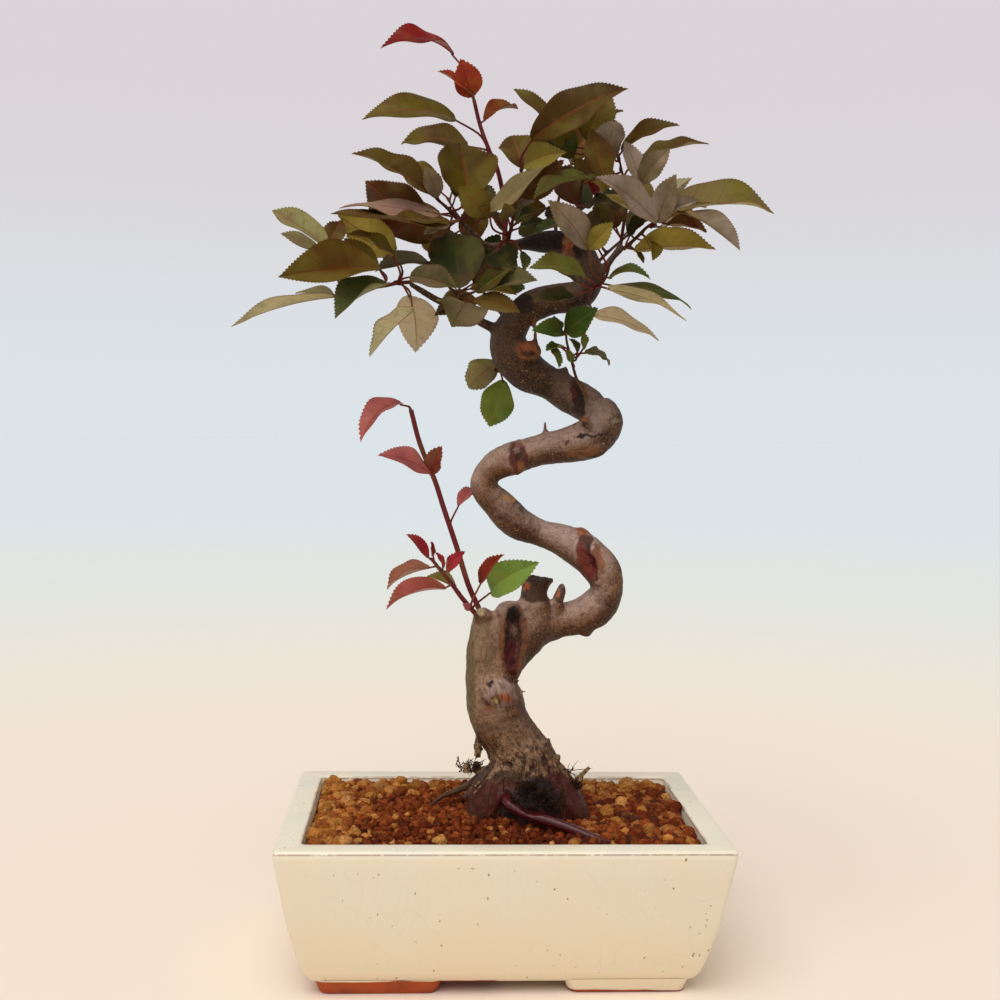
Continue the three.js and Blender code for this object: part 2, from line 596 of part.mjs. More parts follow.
    stem: [[588.4, 290.2, -13.2], [596, 287, -16], [604, 280, -18], [608, 272, -19]],
    leaves: [
      [606, 277, 609, 278, -22, 650, 277, -32, 9, 8],
      [596, 287, 607, 288, -24, 686, 322, -40, -10, 8],
      [600, 284, 615, 286, -12, 693, 306, -2, 8, 6],
      [592, 289, 592, 314, -17, 659, 341, -26, -13, 6],
      [594, 288, 586, 277, -26, 529, 268, -36, 20, 5],
      [602, 282, 588, 250, -24, 548, 203, -36, 34, 4],
      [608, 273, 599, 237, -22, 581, 217, -30, 28, 2],
    ],
  },
  {
    name: "shoot_crotch", thick: [0.9, 0.6], colour: "#4f6a26",
    stem: [[585.6, 394.4, -8.6], [580, 386, -8], [575, 374, -6], [571, 358, -6], [567, 343, -6],
      [566, 334, -6]],
    leaves: [
      [566, 335, 568, 330, -8, 598, 314, -22, 26, 3],
      [566, 335, 563, 330, -9, 532, 329, -22, 16, 4],
      [566, 335, 558, 331, 0, 556, 317, 12, 12, 1],
      [571, 358, 585, 352, -2, 610, 365, 8, 7, 6],
      [571, 358, 584, 350, -12, 582, 330, -18, 8, 1],
      [572, 362, 578, 352, 2, 570, 338, 10, 7, 1],
      [573, 368, 573, 362, -12, 565, 350, -18, 9, 1],
      [570, 354, 552, 346, -14, 560, 367, -20, 9, 1],
      [570, 352, 563, 346, -10, 546, 351, -20, 7, 1],
    ],
  },
  {
    name: "leaves_behind_trunk", thick: [1, 0.7], colour: "#4f4a22",
    stem: [[503.2, 371.5, 12.8], [498, 371, 18], [494, 370, 22]],
    leaves: [
      [495, 370, 491, 366, 24, 472, 392, 28, 20, 8],
      [496, 371, 497, 384, 24, 488, 427, 28, 30, 4],
    ],
  },
  {
    name: "shoot_lower_left", thick: [1, 0.6], colour: "#6d2326",
    stem: [[477.4, 605.2, -1], [468, 584, -3], [457, 548, -5], [443, 506, -6], [435, 481, -7],
      [420, 444, -8], [411, 410, -9]],
    leaves: [
      [411, 412, 402, 404, -11, 360, 441, -22, 18, 14],
      [435, 481, 430, 474, -10, 378, 456, -22, 26, 4],
      [450, 528, 458, 506, 4, 473, 487, 14, 14, 2],
    ],
  },
  {
    name: "shoot_rosette", thick: [0.9, 0.6], colour: "#8a3a2c",
    stem: [[472.2, 609.9, -6.4], [462, 598, -9], [451, 583, -11], [441, 571, -12], [434, 562, -13]],
    leaves: [
      [434, 563, 427, 556, -15, 407, 534, -22, 9, 2],
      [434, 563, 433, 556, -9, 432, 541, -4, 5, 0],
      [441, 571, 447, 571, -17, 465, 552, -24, 10, 3],
      [438, 567, 430, 568, -9, 386, 588, -2, -9, 3],
      [451, 583, 443, 589, -18, 386, 606, -28, 13, 4],
      [460, 596, 456, 588, -5, 426, 577, 6, 12, 3],
      [470, 608, 480, 584, -12, 503, 554, -18, 13, 3],
      [471, 609, 492, 591, -16, 538, 564, -28, 24, 4],
    ],
  },
  {
    name: "spray_back_left", thick: [1.1, 0.6], colour: "#4c4a22",
    stem: [[505.8, 318.8, 12.6], [490, 300, 27], [470, 276, 41], [455, 256, 50]],
    leaves: [
      [456, 257, 450, 250, 50, 420, 225, 60, 30, 4],
      [458, 260, 470, 242, 54, 482, 206, 52, 30, 4],
      [468, 273, 455, 281, 48, 415, 272, 62, 28, 4],
      [472, 278, 484, 270, 46, 518, 264, 58, 26, 4],
      [488, 298, 478, 302, 34, 440, 300, 48, 24, 4],
      [480, 288, 488, 286, 30, 526, 288, 34, 20, 4],
    ],
  },
  {
    name: "spray_back_right", thick: [1.1, 0.6], colour: "#55502a",
    stem: [[592.2, 268.8, 5.6], [605, 255, 20], [622, 240, 33], [640, 225, 42]],
    leaves: [
      [640, 226, 650, 219, 48, 692, 210, 62, 32, 4],
      [638, 227, 638, 214, 44, 630, 176, 54, 34, 4],
      [622, 240, 616, 228, 32, 606, 194, 38, 32, 4],
      [630, 234, 645, 242, 36, 700, 240, 40, 24, 4],
      [606, 254, 600, 244, 26, 572, 224, 40, 28, 4],
    ],
  },
  {
    name: "spray_back_top", thick: [1.1, 0.6], colour: "#4a4424",
    stem: [[555.9, 236.8, 11.6], [556, 214, 25], [561, 190, 36], [568, 170, 44]],
    leaves: [
      [568, 171, 573, 160, 46, 596, 124, 52, 34, 4],
      [567, 172, 555, 164, 48, 522, 148, 58, 32, 4],
      [562, 188, 574, 186, 44, 616, 172, 58, 32, 4],
      [556, 208, 546, 208, 34, 505, 212, 46, 26, 4],
    ],
  },
  {
    name: "spray_back_upper_left", thick: [1, 0.6], colour: "#4c3c22",
    stem: [[478, 239.8, 6.5], [468, 228, 21], [456, 213, 33], [448, 199, 41]],
    leaves: [
      [448, 200, 440, 191, 44, 400, 166, 56, 28, 4],
      [449, 201, 453, 188, 44, 462, 154, 48, 32, 4],
      [456, 213, 440, 214, 38, 388, 216, 52, 28, 4],
      [462, 220, 474, 212, 30, 490, 184, 36, 28, 4],
      [466, 226, 455, 234, 28, 420, 242, 42, 26, 4],
    ],
  },
];

// The outline of half a blade from base to tip: [share of the length, share of the half-breadth].
// It goes from tooth to notch and back.
const WIDE_EDGE = [[0.08, 0.52], [0.34, 1], [0.4, 0.88], [0.66, 0.88], [0.71, 0.74]];
const SMALL_EDGE = [[0.1, 0.6], [0.42, 1], [0.48, 0.88], [0.78, 0.6]];
const WIDE_RIB = [0.3, 0.62];
const SMALL_RIB = [0.45];
const SMALL_LEAF = 31; // millimetres of length below which a blade takes the plainer outline

const SHORT_STALK = 9; // millimetres below which a stalk runs straight

// The frame of a blade: its base, length, axes and arch.
function bladeFrame(row) {
  const [, , baseU, baseV, baseY, tipU, tipV, tipY, seenBreadth, arch] = row;
  const base = seen(baseU, baseV, baseY);
  const tip = seen(tipU, tipV, tipY);
  const middle = base.clone().lerp(tip, 0.5);
  const toViewer = VIEWPOINT.clone().sub(middle);
  const unit = toViewer.length() / VIEW_FOCAL;
  const axis = tip.clone().sub(base);
  const length = axis.length();
  axis.divideScalar(length);
  const facing = toViewer.addScaledVector(axis, -toViewer.dot(axis)).normalize();
  const rising = new THREE.Vector3().crossVectors(axis, facing);
  if (rising.z < 0) rising.negate();
  const seenWidth = Math.abs(seenBreadth) * unit;
  const width = Math.max(seenWidth, BLADE_RATIO * length);
  let roll = Math.acos(Math.max(seenWidth / width, 0.1));
  if (seenBreadth < 0) roll = Math.PI - roll;
  const normal = facing.multiplyScalar(Math.cos(roll)).addScaledVector(rising, Math.sin(roll));
  const side = new THREE.Vector3().crossVectors(axis, normal);
  return { base, axis, normal, side, length, width, bow: arch * unit };
}

// Joins two chains of points that run side by side, always stepping the one that lags.
function zip(chain, other, flip) {
  const triangles = [];
  let i = 0;
  let j = 0;
  while (i + 1 < chain.length || j + 1 < other.length) {
    const stepChain = j + 1 >= other.length ||
      (i + 1 < chain.length && chain[i + 1].share <= other[j + 1].share);
    const next = stepChain ? chain[i + 1].index : other[j + 1].index;
    const corners = [chain[i].index, other[j].index, next];
    triangles.push(flip ? corners.reverse() : corners);
    if (stepChain) i += 1;
    else j += 1;
  }
  return triangles;
}

// One leaf: a thin folded and arched blade with a toothed edge, running into a three-sided stalk
// whose far end is sunk in the stem.
function makeLeaf(row, root) {
  const { base, axis, normal, side, length, width, bow } = bladeFrame(row);
  const edge = length < SMALL_LEAF ? SMALL_EDGE : WIDE_EDGE;
  const ribs = length < SMALL_LEAF ? SMALL_RIB : WIDE_RIB;
  const points = [];
  const add = (p) => points.push(p) - 1;
  const place = (share, reach, lift) => {
    const slope = (4 * bow * (1 - 2 * share)) / length;
    const up = normal.clone().addScaledVector(axis, -slope).normalize();
    const p = base.clone().addScaledVector(axis, share * length);
    p.addScaledVector(normal, 4 * bow * share * (1 - share));
    p.addScaledVector(side, reach * Math.cos(BLADE_FOLD));
    return p.addScaledVector(up, Math.abs(reach) * Math.sin(BLADE_FOLD) + lift);
  };
  const half = BLADE_THICKNESS / 2;
  const faces = [half, -half].map((lift) => {
    const rib = [0, ...ribs, 1].map((share) => ({ share, index: add(place(share, 0, lift)) }));
    const [left, right] = [-1, 1].map((hand) =>
      edge.map(([share, part]) => ({
        share,
        index: add(place(share, (hand * part * width) / 2, lift)),
      })),
    );
    return { rib, left, right };
  });
  const [top, under] = faces;
  const heel = [-1, 1].map((hand) =>
    add(base.clone().addScaledVector(side, hand * STALK_HALF).addScaledVector(normal, -half)));
  const triangles = [
    ...zip(top.rib, top.left, true),
    ...zip(top.rib, top.right, false),
    ...zip(under.rib, under.left, false),
    ...zip(under.rib, under.right, true),
  ];
  const tipTop = top.rib.at(-1).index;
  const tipUnder = under.rib.at(-1).index;
  const crown = top.rib[0].index;
  const sole = under.rib[0].index;
  const rim = (a, b, c, d, flip) => {
    const pair = [[a, b, c], [a, c, d]];
    triangles.push(...pair.map((t) => (flip ? t.reverse() : t)));
  };
  for (const [hand, upper, lower] of [[0, top.left, under.left], [1, top.right, under.right]]) {
    const flip = hand === 1;
    rim(crown, upper[0].index, lower[0].index, heel[hand], flip);
    for (let k = 0; k + 1 < upper.length; k += 1) {
      rim(upper[k].index, upper[k + 1].index, lower[k + 1].index, lower[k].index, flip);
    }
    rim(upper.at(-1).index, tipTop, tipUnder, lower.at(-1).index, flip);
    const patch = [heel[hand], lower[0].index, sole];
    triangles.push(flip ? patch.reverse() : patch);
  }
  const bend = base.clone().lerp(root, 0.5).addScaledVector(axis, -0.16 * base.distanceTo(root));
  const stations = base.distanceTo(root) > SHORT_STALK ? [bend, root] : [root];
  let previous = [crown, heel[0], heel[1]];
  let last = base;
  for (const at of stations) {
    const run = last.clone().sub(at).normalize();
    const wing = side.clone().addScaledVector(run, -side.dot(run)).normalize();
    const up = new THREE.Vector3().crossVectors(wing, run);
    const ring = [
      add(at.clone().addScaledVector(up, STALK_HALF * 0.8)),
      add(at.clone().addScaledVector(wing, -STALK_HALF).addScaledVector(up, -half)),
      add(at.clone().addScaledVector(wing, STALK_HALF).addScaledVector(up, -half)),
    ];
    for (let k = 0; k < 3; k += 1) {
      const m = (k + 1) % 3;
      triangles.push([previous[k], previous[m], ring[m]], [previous[k], ring[m], ring[k]]);
    }
    previous = ring;
    last = at;
  }
  triangles.push([previous[0], previous[1], previous[2]]);
  triangles.push([heel[0], heel[1], sole].reverse());
  return solidFrom(points, triangles);
}

// The point on a stem that is seen nearest to (u, v).
function stemPoint(stem, u, v) {
  let best = null;
  const steps = 12;
  for (let i = 0; i + 1 < stem.length; i += 1) {
    for (let k = 0; k <= steps; k += 1) {
      const [su, sv, sy] = stem[i].map((n, m) => n + ((stem[i + 1][m] - n) * k) / steps);
      const away = Math.hypot(su - u, sv - v);
      if (!best || away < best.away) best = { away, at: seen(su, sv, sy) };
    }
  }
  return best.at;
}

function makeShoot({ stem, thick, leaves }) {
  const [thickest, thinnest] = thick;
  const knots = stem.map(([u, v, y], i) => {
    const share = i / (stem.length - 1);
    return { at: seen(u, v, y), r: thickest + (thinnest - thickest) * share };
  });
  const blades = leaves.map((row) => makeLeaf(row, stemPoint(stem, row[0], row[1])));
  return fuse([limb(knots, 4), ...blades]);
}

// Materials and the finished group.
function matte(color, roughness) {
  return new THREE.MeshStandardMaterial({ color, roughness, metalness: 0 });
}

const bonsai = new THREE.Group();
bonsai.add(meshFrom("pot", makePot(), matte("#e3dcbd", 0.3)));
bonsai.add(meshFrom("drain_screen_left", makeScreen(-DRAIN_SPACING / 2), matte("#2c3a34", 0.6)));
bonsai.add(meshFrom("drain_screen_right", makeScreen(DRAIN_SPACING / 2), matte("#2c3a34", 0.6)));
bonsai.add(meshFrom("soil", makeSoil(makeRootMass(GAP)), matte("#8a4a22", 0.95)));
bonsai.add(meshFrom("trunk", makeTree(), matte("#75655a", 0.85)));
for (const shoot of SHOOTS) {
  bonsai.add(meshFrom(shoot.name, makeShoot(shoot), matte(shoot.colour, 0.5)));
}

export default bonsai;
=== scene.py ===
import math
import random

import bmesh
import bpy
import numpy as np
from mathutils import Euler, Matrix, Vector, noise


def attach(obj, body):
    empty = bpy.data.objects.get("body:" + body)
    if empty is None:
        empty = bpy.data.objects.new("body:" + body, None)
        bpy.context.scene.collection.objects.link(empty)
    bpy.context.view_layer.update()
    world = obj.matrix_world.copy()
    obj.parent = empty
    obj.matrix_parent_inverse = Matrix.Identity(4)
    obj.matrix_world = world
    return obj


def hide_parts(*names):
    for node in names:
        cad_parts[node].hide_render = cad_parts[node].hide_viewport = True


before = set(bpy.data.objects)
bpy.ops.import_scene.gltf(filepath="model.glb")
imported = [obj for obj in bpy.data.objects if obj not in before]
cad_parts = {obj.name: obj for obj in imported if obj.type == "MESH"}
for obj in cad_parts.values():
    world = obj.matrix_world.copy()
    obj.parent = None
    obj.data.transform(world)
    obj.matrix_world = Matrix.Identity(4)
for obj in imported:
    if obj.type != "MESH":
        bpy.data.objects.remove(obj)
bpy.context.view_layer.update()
MM = 0.001

# The pot is pressed stoneware in a cream glaze: a long box whose walls lean in towards four feet.
# It is drawn out of a block, hollowed through the rim and cut for two drain holes, and the
# feet are pressed on. The left front foot is bare clay, the others only along their soles.
POT_HALF_LENGTH = 90 * MM
POT_HALF_DEPTH = 59.6 * MM
POT_TOP = 62 * MM
POT_UNDERSIDE = 5 * MM
POT_FLOOR = 11.5 * MM
RIM_WIDTH = 9.8 * MM
RIM_ROUND = 0.9 * MM
# How far the walls stand in from the pot's half length and depth, at each height, all in mm.
WALL_HEIGHTS = [5, 6.6, 10, 17, 24, 31, 40, 50, 58.6, 61.1, 62]
WALL_INSETS = [14.6, 12.4, 10.5, 8.3, 6.5, 4.7, 3.0, 1.3, -0.3, -0.2, 0.5]
CAVITY_LEAN = 9 * MM
CORNER_ROUND = 2.4 * MM
FOOT_X = 49.6 * MM
FOOT_Y = 33.5 * MM
FOOT_SIZE = (51 * MM, 27 * MM, 6.2 * MM)
FOOT_LEAN = 2 * MM
FOOT_ROUND = 4 * MM
SOLE_ROUND = 1 * MM
DRAIN_X = 42 * MM
DRAIN_RADIUS = 7 * MM
DRILL_LENGTH = 30 * MM
DRILL_HEIGHT = 12 * MM
# How high bare clay shows on the left front foot and on the others, and how far its edge wanders.
BARE_FOOT = 4.6 * MM
BARE_SOLE = 0.2 * MM
BARE_WANDER = 2.2 * MM
# How near to level with the rim or with the ground an edge must be to belong to it.
NEAR = 0.2 * MM


def finish_piece(name, bm, material, smooth_angle=40):
    """Turns a bmesh into an object of the scene that stands in its own place."""
    mesh = bpy.data.meshes.new(name)
    bm.to_mesh(mesh)
    bm.free()
    mesh.materials.append(material)
    mesh.shade_smooth()
    mesh.set_sharp_from_angle(angle=math.radians(smooth_angle))
    piece = bpy.data.objects.new(name, mesh)
    bpy.context.scene.collection.objects.link(piece)
    return piece


def mounted(piece, slot, *nodes):
    """Rests a piece on the part's one body, in place of the solids that it refines."""
    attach(piece, "root")
    for node in nodes:
        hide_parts(node)


def bake_modifiers(piece):
    """Makes what the modifiers show the piece's own mesh."""
    depsgraph = bpy.context.evaluated_depsgraph_get()
    mesh = bpy.data.meshes.new_from_object(piece.evaluated_get(depsgraph))
    piece.modifiers.clear()
    piece.data = mesh
    return mesh


def block(size, centre):
    """Stretches a unit shape to a size, round a centre."""
    return Matrix.Translation(centre) @ Matrix.Diagonal((*size, 1))


def round_off(bm, edges, offset, segments):
    """Bevels edges to a round."""
    return bmesh.ops.bevel(bm, geom=edges, offset=offset, segments=segments, profile=0.5,
                           affect="EDGES", material=-1)


def feed(tree, target, sockets):
    """Gives a node's sockets a value each, or another node's output to read."""
    for key, value in sockets.items():
        if isinstance(value, bpy.types.NodeSocket):
            tree.links.new(value, target.inputs[key])
        else:
            target.inputs[key].default_value = value


def node(tree, kind, sockets=None, **settings):
    """Adds a node with its settings, and feeds its sockets."""
    made = tree.nodes.new(kind)
    for key, value in settings.items():
        setattr(made, key, value)
    feed(tree, made, sockets or {})
    return made


def new_material(name, roughness, specular=0.5):
    """A material with a Principled shader, and what is needed to add nodes to it."""
    material = bpy.data.materials.new(name)
    material.use_nodes = True
    tree = material.node_tree
    shader = tree.nodes["Principled BSDF"]
    feed(tree, shader, {"Roughness": roughness, "Specular IOR Level": specular})
    return material, tree, shader


def rgb(code):
    """A colour written as on screen, in the linear values that a shader takes."""
    parts = [int(code[i : i + 2], 16) / 255 for i in (1, 3, 5)]
    linear = [c / 12.92 if c <= 0.04045 else ((c + 0.055) / 1.055) ** 2.4 for c in parts]
    return (*linear, 1)


def mix(tree, factor, first, second, blend="MIX"):
    """Blends two colours by a factor. A colour may be given as its code."""
    first, second = (rgb(c) if isinstance(c, str) else c for c in (first, second))
    made = node(tree, "ShaderNodeMix", {0: factor, 6: first, 7: second}, data_type="RGBA", blend_type=blend)
    return made.outputs[2]


def maths(tree, operation, *values):
    """One step of arithmetic."""
    return node(tree, "ShaderNodeMath", dict(enumerate(values)), operation=operation).outputs[0]


def times(tree, *factors):
    """Two factors or more, multiplied."""
    product = factors[0]
    for factor in factors[1:]:
        product = maths(tree, "MULTIPLY", product, factor)
    return product


def raised(tree, factor, low, share):
    """Low where the factor is 0, and higher by share where it is 1."""
    return maths(tree, "MULTIPLY_ADD", factor, share, low)


def span(tree, value, low, high):
    """0 at low and 1 at high, with a soft step between."""
    made = node(tree, "ShaderNodeMapRange", {"Value": value, "From Min": low, "From Max": high},
                interpolation_type="SMOOTHSTEP")
    return made.outputs["Result"]


def object_place(tree):
    """The place on a piece, which patterns follow."""
    return node(tree, "ShaderNodeTexCoord").outputs["Object"]


def axes(tree, vector):
    """A vector's X, Y and Z."""
    return node(tree, "ShaderNodeSeparateXYZ", {"Vector": vector}).outputs


def facing_way(tree):
    """The X, Y and Z of the way that the surface faces."""
    return axes(tree, node(tree, "ShaderNodeNewGeometry").outputs["Normal"])


def cloudy(tree, place, scale, detail, roughness=0.5, output="Fac"):
    """Soft patches that come and go, scale times in a metre."""
    return node(tree, "ShaderNodeTexNoise", {"Vector": place, "Scale": scale, "Detail": detail,
                                             "Roughness": roughness}).outputs[output]


def cells(tree, place, scale, feature="F1"):
    """How far a place is from the middle, or from the edge, of its cell."""
    return node(tree, "ShaderNodeTexVoronoi", {"Vector": place, "Scale": scale},
                feature=feature).outputs["Distance"]


def stretched(tree, place, scale, lean=(0, 0, 0), shift=0):
    """The same place, moved, leaning and stretched for a pattern."""
    return node(tree, "ShaderNodeMapping", {"Vector": place, "Scale": scale, "Location": (shift,) * 3,
                                            "Rotation": [math.radians(a) for a in lean]}).outputs["Vector"]


def dented(tree, height, strength, distance):
    """The way that a surface faces once a height dents it."""
    return node(tree, "ShaderNodeBump", {"Strength": strength, "Distance": distance,
                                         "Height": height}).outputs["Normal"]


def glaze_material():
    material, tree, shader = new_material("cream_glaze", 0.22)
    place = object_place(tree)
    x, y, z = axes(tree, place)
    up = facing_way(tree)["Z"]
    cloud = cloudy(tree, place, 34, 4)
    ragged = cloudy(tree, place, 420, 3)
    stain = cloudy(tree, place, 90, 5)

    # The glaze is warmer and paler where it faces up, on the rim, which is painted light from above, and
    # warmer again low on the walls.
    body = mix(tree, span(tree, cloud, 0.35, 0.7), "#ecdfc5", "#eae1ca")
    rim_painted_light = mix(tree, span(tree, cloud, 0.4, 0.65), "#f6ead0", "#f0e7d0")
    body = mix(tree, span(tree, up, 0.4, 0.9), body, rim_painted_light)
    body = mix(tree, times(tree, span(tree, z, 50 * MM, 12 * MM), 0.5), body, "#e8d8b8")

    # Fine crackle, in patches.
    bent = mix(tree, 0.02, place, cloudy(tree, place, 22, 2, output="Color"), "ADD")
    crackle = cells(tree, stretched(tree, bent, (1, 1, 0.34), (0, 32, 20)), 150, "DISTANCE_TO_EDGE")
    crack = times(tree, span(tree, crackle, 0.018, 0), span(tree, cloud, 0.42, 0.58), 0.08)
    body = mix(tree, crack, body, "#8e8468")

    # Dark specks, thicker towards the foot of the walls.
    slender = stretched(tree, mix(tree, 0.002, place, ragged, "ADD"), (1, 1, 0.55), (0, 24, 0))
    often = maths(tree, "ADD", cloudy(tree, place, 190, 1), times(tree, span(tree, z, 20 * MM, 9 * MM), 0.07))
    speck = times(tree, span(tree, cells(tree, slender, 330), 0.15, 0.08), span(tree, often, 0.585, 0.62))
    body = mix(tree, times(tree, speck, 0.85), body, "#5b4e3c")

    # The glaze is worn thin along the rim's outer edge, and here and there along its inner lip.
    outer = times(tree, span(tree, z, 60.3 * MM, 60.7 * MM), span(tree, z, 61.4 * MM, 61.1 * MM),
                  span(tree, up, 0.75, 0.5), span(tree, ragged, 0.28, 0.5), 0.7)
    body = mix(tree, outer, body, "#a08070")
    to_end = maths(tree, "SUBTRACT", maths(tree, "ABSOLUTE", x), POT_HALF_LENGTH - RIM_WIDTH)
    to_side = maths(tree, "SUBTRACT", maths(tree, "ABSOLUTE", y), POT_HALF_DEPTH - RIM_WIDTH)
    lip = maths(tree, "MAXIMUM", to_end, to_side)
    inner = times(tree, span(tree, lip, -0.4 * MM, 0.1 * MM), span(tree, lip, 0.9 * MM, 0.3 * MM),
                  span(tree, z, 60.8 * MM, 61.4 * MM), span(tree, stain, 0.5, 0.62), 0.45)
    body = mix(tree, inner, body, "#8a6a52")

    # Bare clay shows on the left front foot, along the other soles and underneath.
    left_front = times(tree, span(tree, x, 4 * MM, -4 * MM), span(tree, y, 4 * MM, -4 * MM))
    limit = raised(tree, left_front, BARE_SOLE, BARE_FOOT)
    limit = raised(tree, cloudy(tree, place, 60, 2), limit, BARE_WANDER)
    clay = span(tree, maths(tree, "SUBTRACT", limit, z), -0.1 * MM, 0.3 * MM)
    under = times(tree, span(tree, up, -0.8, -0.95), span(tree, z, 5.4 * MM, 4 * MM))
    clay = maths(tree, "MAXIMUM", clay, under)
    terracotta = mix(tree, span(tree, stain, 0.4, 0.7), "#a8460f", "#80300a")
    swell = maths(tree, "SUBTRACT", cloudy(tree, place, 48, 2), times(tree, speck, 0.8))
    feed(tree, shader, {
        "Base Color": mix(tree, clay, body, terracotta), "Roughness": raised(tree, clay, 0.2, 0.5),
        "Normal": dented(tree, swell, 0.18, 1.2 * MM),
    })
    return material


def make_pot(glaze):
    bm = bmesh.new()
    bmesh.ops.create_cube(bm, size=1, matrix=block(
        (2 * POT_HALF_LENGTH, 2 * POT_HALF_DEPTH, POT_TOP - POT_UNDERSIDE),
        (0, 0, (POT_TOP + POT_UNDERSIDE) / 2)))
    for height in WALL_HEIGHTS[1:-1]:
        bmesh.ops.bisect_plane(bm, geom=bm.verts[:] + bm.edges[:] + bm.faces[:],
                               plane_co=(0, 0, height * MM), plane_no=(0, 0, 1))
    for v in bm.verts:
        inset = np.interp(v.co.z / MM, WALL_HEIGHTS, WALL_INSETS) * MM
        v.co.x = math.copysign(POT_HALF_LENGTH - inset, v.co.x)
        v.co.y = math.copysign(POT_HALF_DEPTH - inset, v.co.y)
    top = max(bm.faces, key=lambda f: f.calc_center_median().z)
    bmesh.ops.inset_region(bm, faces=[top], thickness=RIM_WIDTH - WALL_INSETS[-1] * MM, use_even_offset=True)
    cavity = bmesh.ops.extrude_face_region(bm, geom=[top])
    for v in [g for g in cavity["geom"] if isinstance(g, bmesh.types.BMVert)]:
        v.co.z = POT_FLOOR
        v.co.x -= math.copysign(CAVITY_LEAN, v.co.x)
        v.co.y -= math.copysign(CAVITY_LEAN, v.co.y)
    bmesh.ops.delete(bm, geom=[top], context="FACES_ONLY")
    upright = [e for e in bm.edges if abs(e.verts[0].co.z - e.verts[1].co.z) > 0.5 * MM
               and min(abs(v.co.x) for v in e.verts) > 0.5 * POT_HALF_LENGTH]
    round_off(bm, upright, CORNER_ROUND, 4)
    rims = [e for e in bm.edges if all(v.co.z > POT_TOP - NEAR for v in e.verts)
            and any(abs(f.normal.z) < 0.9 for f in e.link_faces)]
    round_off(bm, rims, RIM_ROUND, 3)
    for foot_x in (-FOOT_X, FOOT_X):
        for foot_y in (-FOOT_Y, FOOT_Y):
            middle = (foot_x, foot_y, FOOT_SIZE[2] / 2)
            foot = bmesh.ops.create_cube(bm, size=1, matrix=block(FOOT_SIZE, middle))["verts"]
            for v in foot:
                if v.co.z < FOOT_SIZE[2] / 2:
                    v.co.x -= math.copysign(FOOT_LEAN, v.co.x - foot_x)
                    v.co.y -= math.copysign(FOOT_LEAN, v.co.y - foot_y)
            edges = dict.fromkeys(e for v in foot for e in v.link_edges)
            standing = [e for e in edges if abs(e.verts[0].co.z - e.verts[1].co.z) > FOOT_SIZE[2] / 2]
            rounded = round_off(bm, standing, FOOT_ROUND, 4)["verts"]
            sole = dict.fromkeys(e for v in rounded for e in v.link_edges
                                 if all(p.co.z < NEAR for p in e.verts))
            round_off(bm, list(sole), SOLE_ROUND, 3)
    bmesh.ops.recalc_face_normals(bm, faces=bm.faces[:])
    pot = finish_piece("glazed_pot", bm, glaze, 32)
    drills = bmesh.new()
    for drain_x in (-DRAIN_X, DRAIN_X):
        bmesh.ops.create_cone(drills, cap_ends=True, segments=32, radius1=DRAIN_RADIUS, radius2=DRAIN_RADIUS,
                              depth=DRILL_LENGTH, matrix=Matrix.Translation((drain_x, 0, DRILL_HEIGHT)))
    drill = finish_piece("drain_cutter", drills, glaze)
    cut = pot.modifiers.new("drains", "BOOLEAN")
    cut.operation = "DIFFERENCE"
    cut.object = drill
    bake_modifiers(pot)
    bpy.data.objects.remove(drill)
    return pot


mounted(make_pot(glaze_material()), "glaze", "pot")

# Two squares of plastic mesh lie on the floor over the drain holes, under the soil.
# They are hidden in the planted pot, and keep the form that they have in the solid part.
screen_plastic, screen_tree, screen_shader = new_material("screen_plastic", 0.6)
feed(screen_tree, screen_shader, {"Base Color": rgb("#27352f")})
for name in ("drain_screen_left", "drain_screen_right"):
    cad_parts[name].data.materials.clear()
    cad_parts[name].data.materials.append(screen_plastic)

# The soil is a bed of baked clay grains, nearly level with the rim: fine red-brown ones in the
# middle, larger ones to the right and tan ones scattered along the back and the front edge.
# Every grain is a worn block of its own, heaped on a near-black bed that is painted shade in the gaps between
# them.
SOIL_LEVEL = 59.4 * MM
BED_LEVEL = 57.2 * MM
BED_LOW = POT_FLOOR + 0.5 * MM
CAVITY_HALF_X = 79.6 * MM
CAVITY_HALF_Y = 49.2 * MM
MOUND = (-7 * MM, -12 * MM)
MOUND_SIZE = (25 * MM, 21 * MM, 3.4 * MM)
HEAP_REACH = (17 * MM, 13 * MM)
SWELL = 0.9 * MM
SWELLS_PER_METRE = 40
GRAIN_PITCH = 2.75 * MM
ROW_PITCH = GRAIN_PITCH * 0.87
GRAIN_JITTER = (-0.35, 0.35)
GRAIN_SIZE = (2.4, 3.4)
GRAIN_LIFT = (-1.5, 0.5)
GRAIN_LIGHT = (0.75, 1.25)
# A grain sinks by this share of what it is larger than a common one.
SINK_SHARE = 0.22
COMMON_SIZE = 3 * MM
LOOSE_GRAINS = 150
LOOSE_LIFT = 0.9 * MM
LARGE_LIFT = 1.6 * MM
LARGE_FROM = 5.6 * MM
TAN_SHARE = 0.04
SMALL_SHAPES = 14
LARGE_SHAPES = 8
# A grain's shape, for one that is one unit across: how squashed it is along each axis, how round
# it is worn, and its lumps as [lumps in a unit, height].
GRAIN_SQUASH = [(0.85, 1.15), (0.75, 1.05), (0.7, 0.95)]
WORN_RADIUS = 0.56
WORN_SHARE = 0.8
GRAIN_LUMPS = [[3, 0.34], [8, 0.14]]
# Any turn, in radians.
ANY_TURN = (0, 6.3)
# Where one zone of the soil ends, and by how much a grain of it may stray, from left to right
# and from front to back.
LEFT_ZONE, RIGHT_ZONE, STRAY_X = -62 * MM, 34 * MM, 6
FRONT_ZONE, BACK_ZONE, STRAY_Y = -26 * MM, 32 * MM, 5
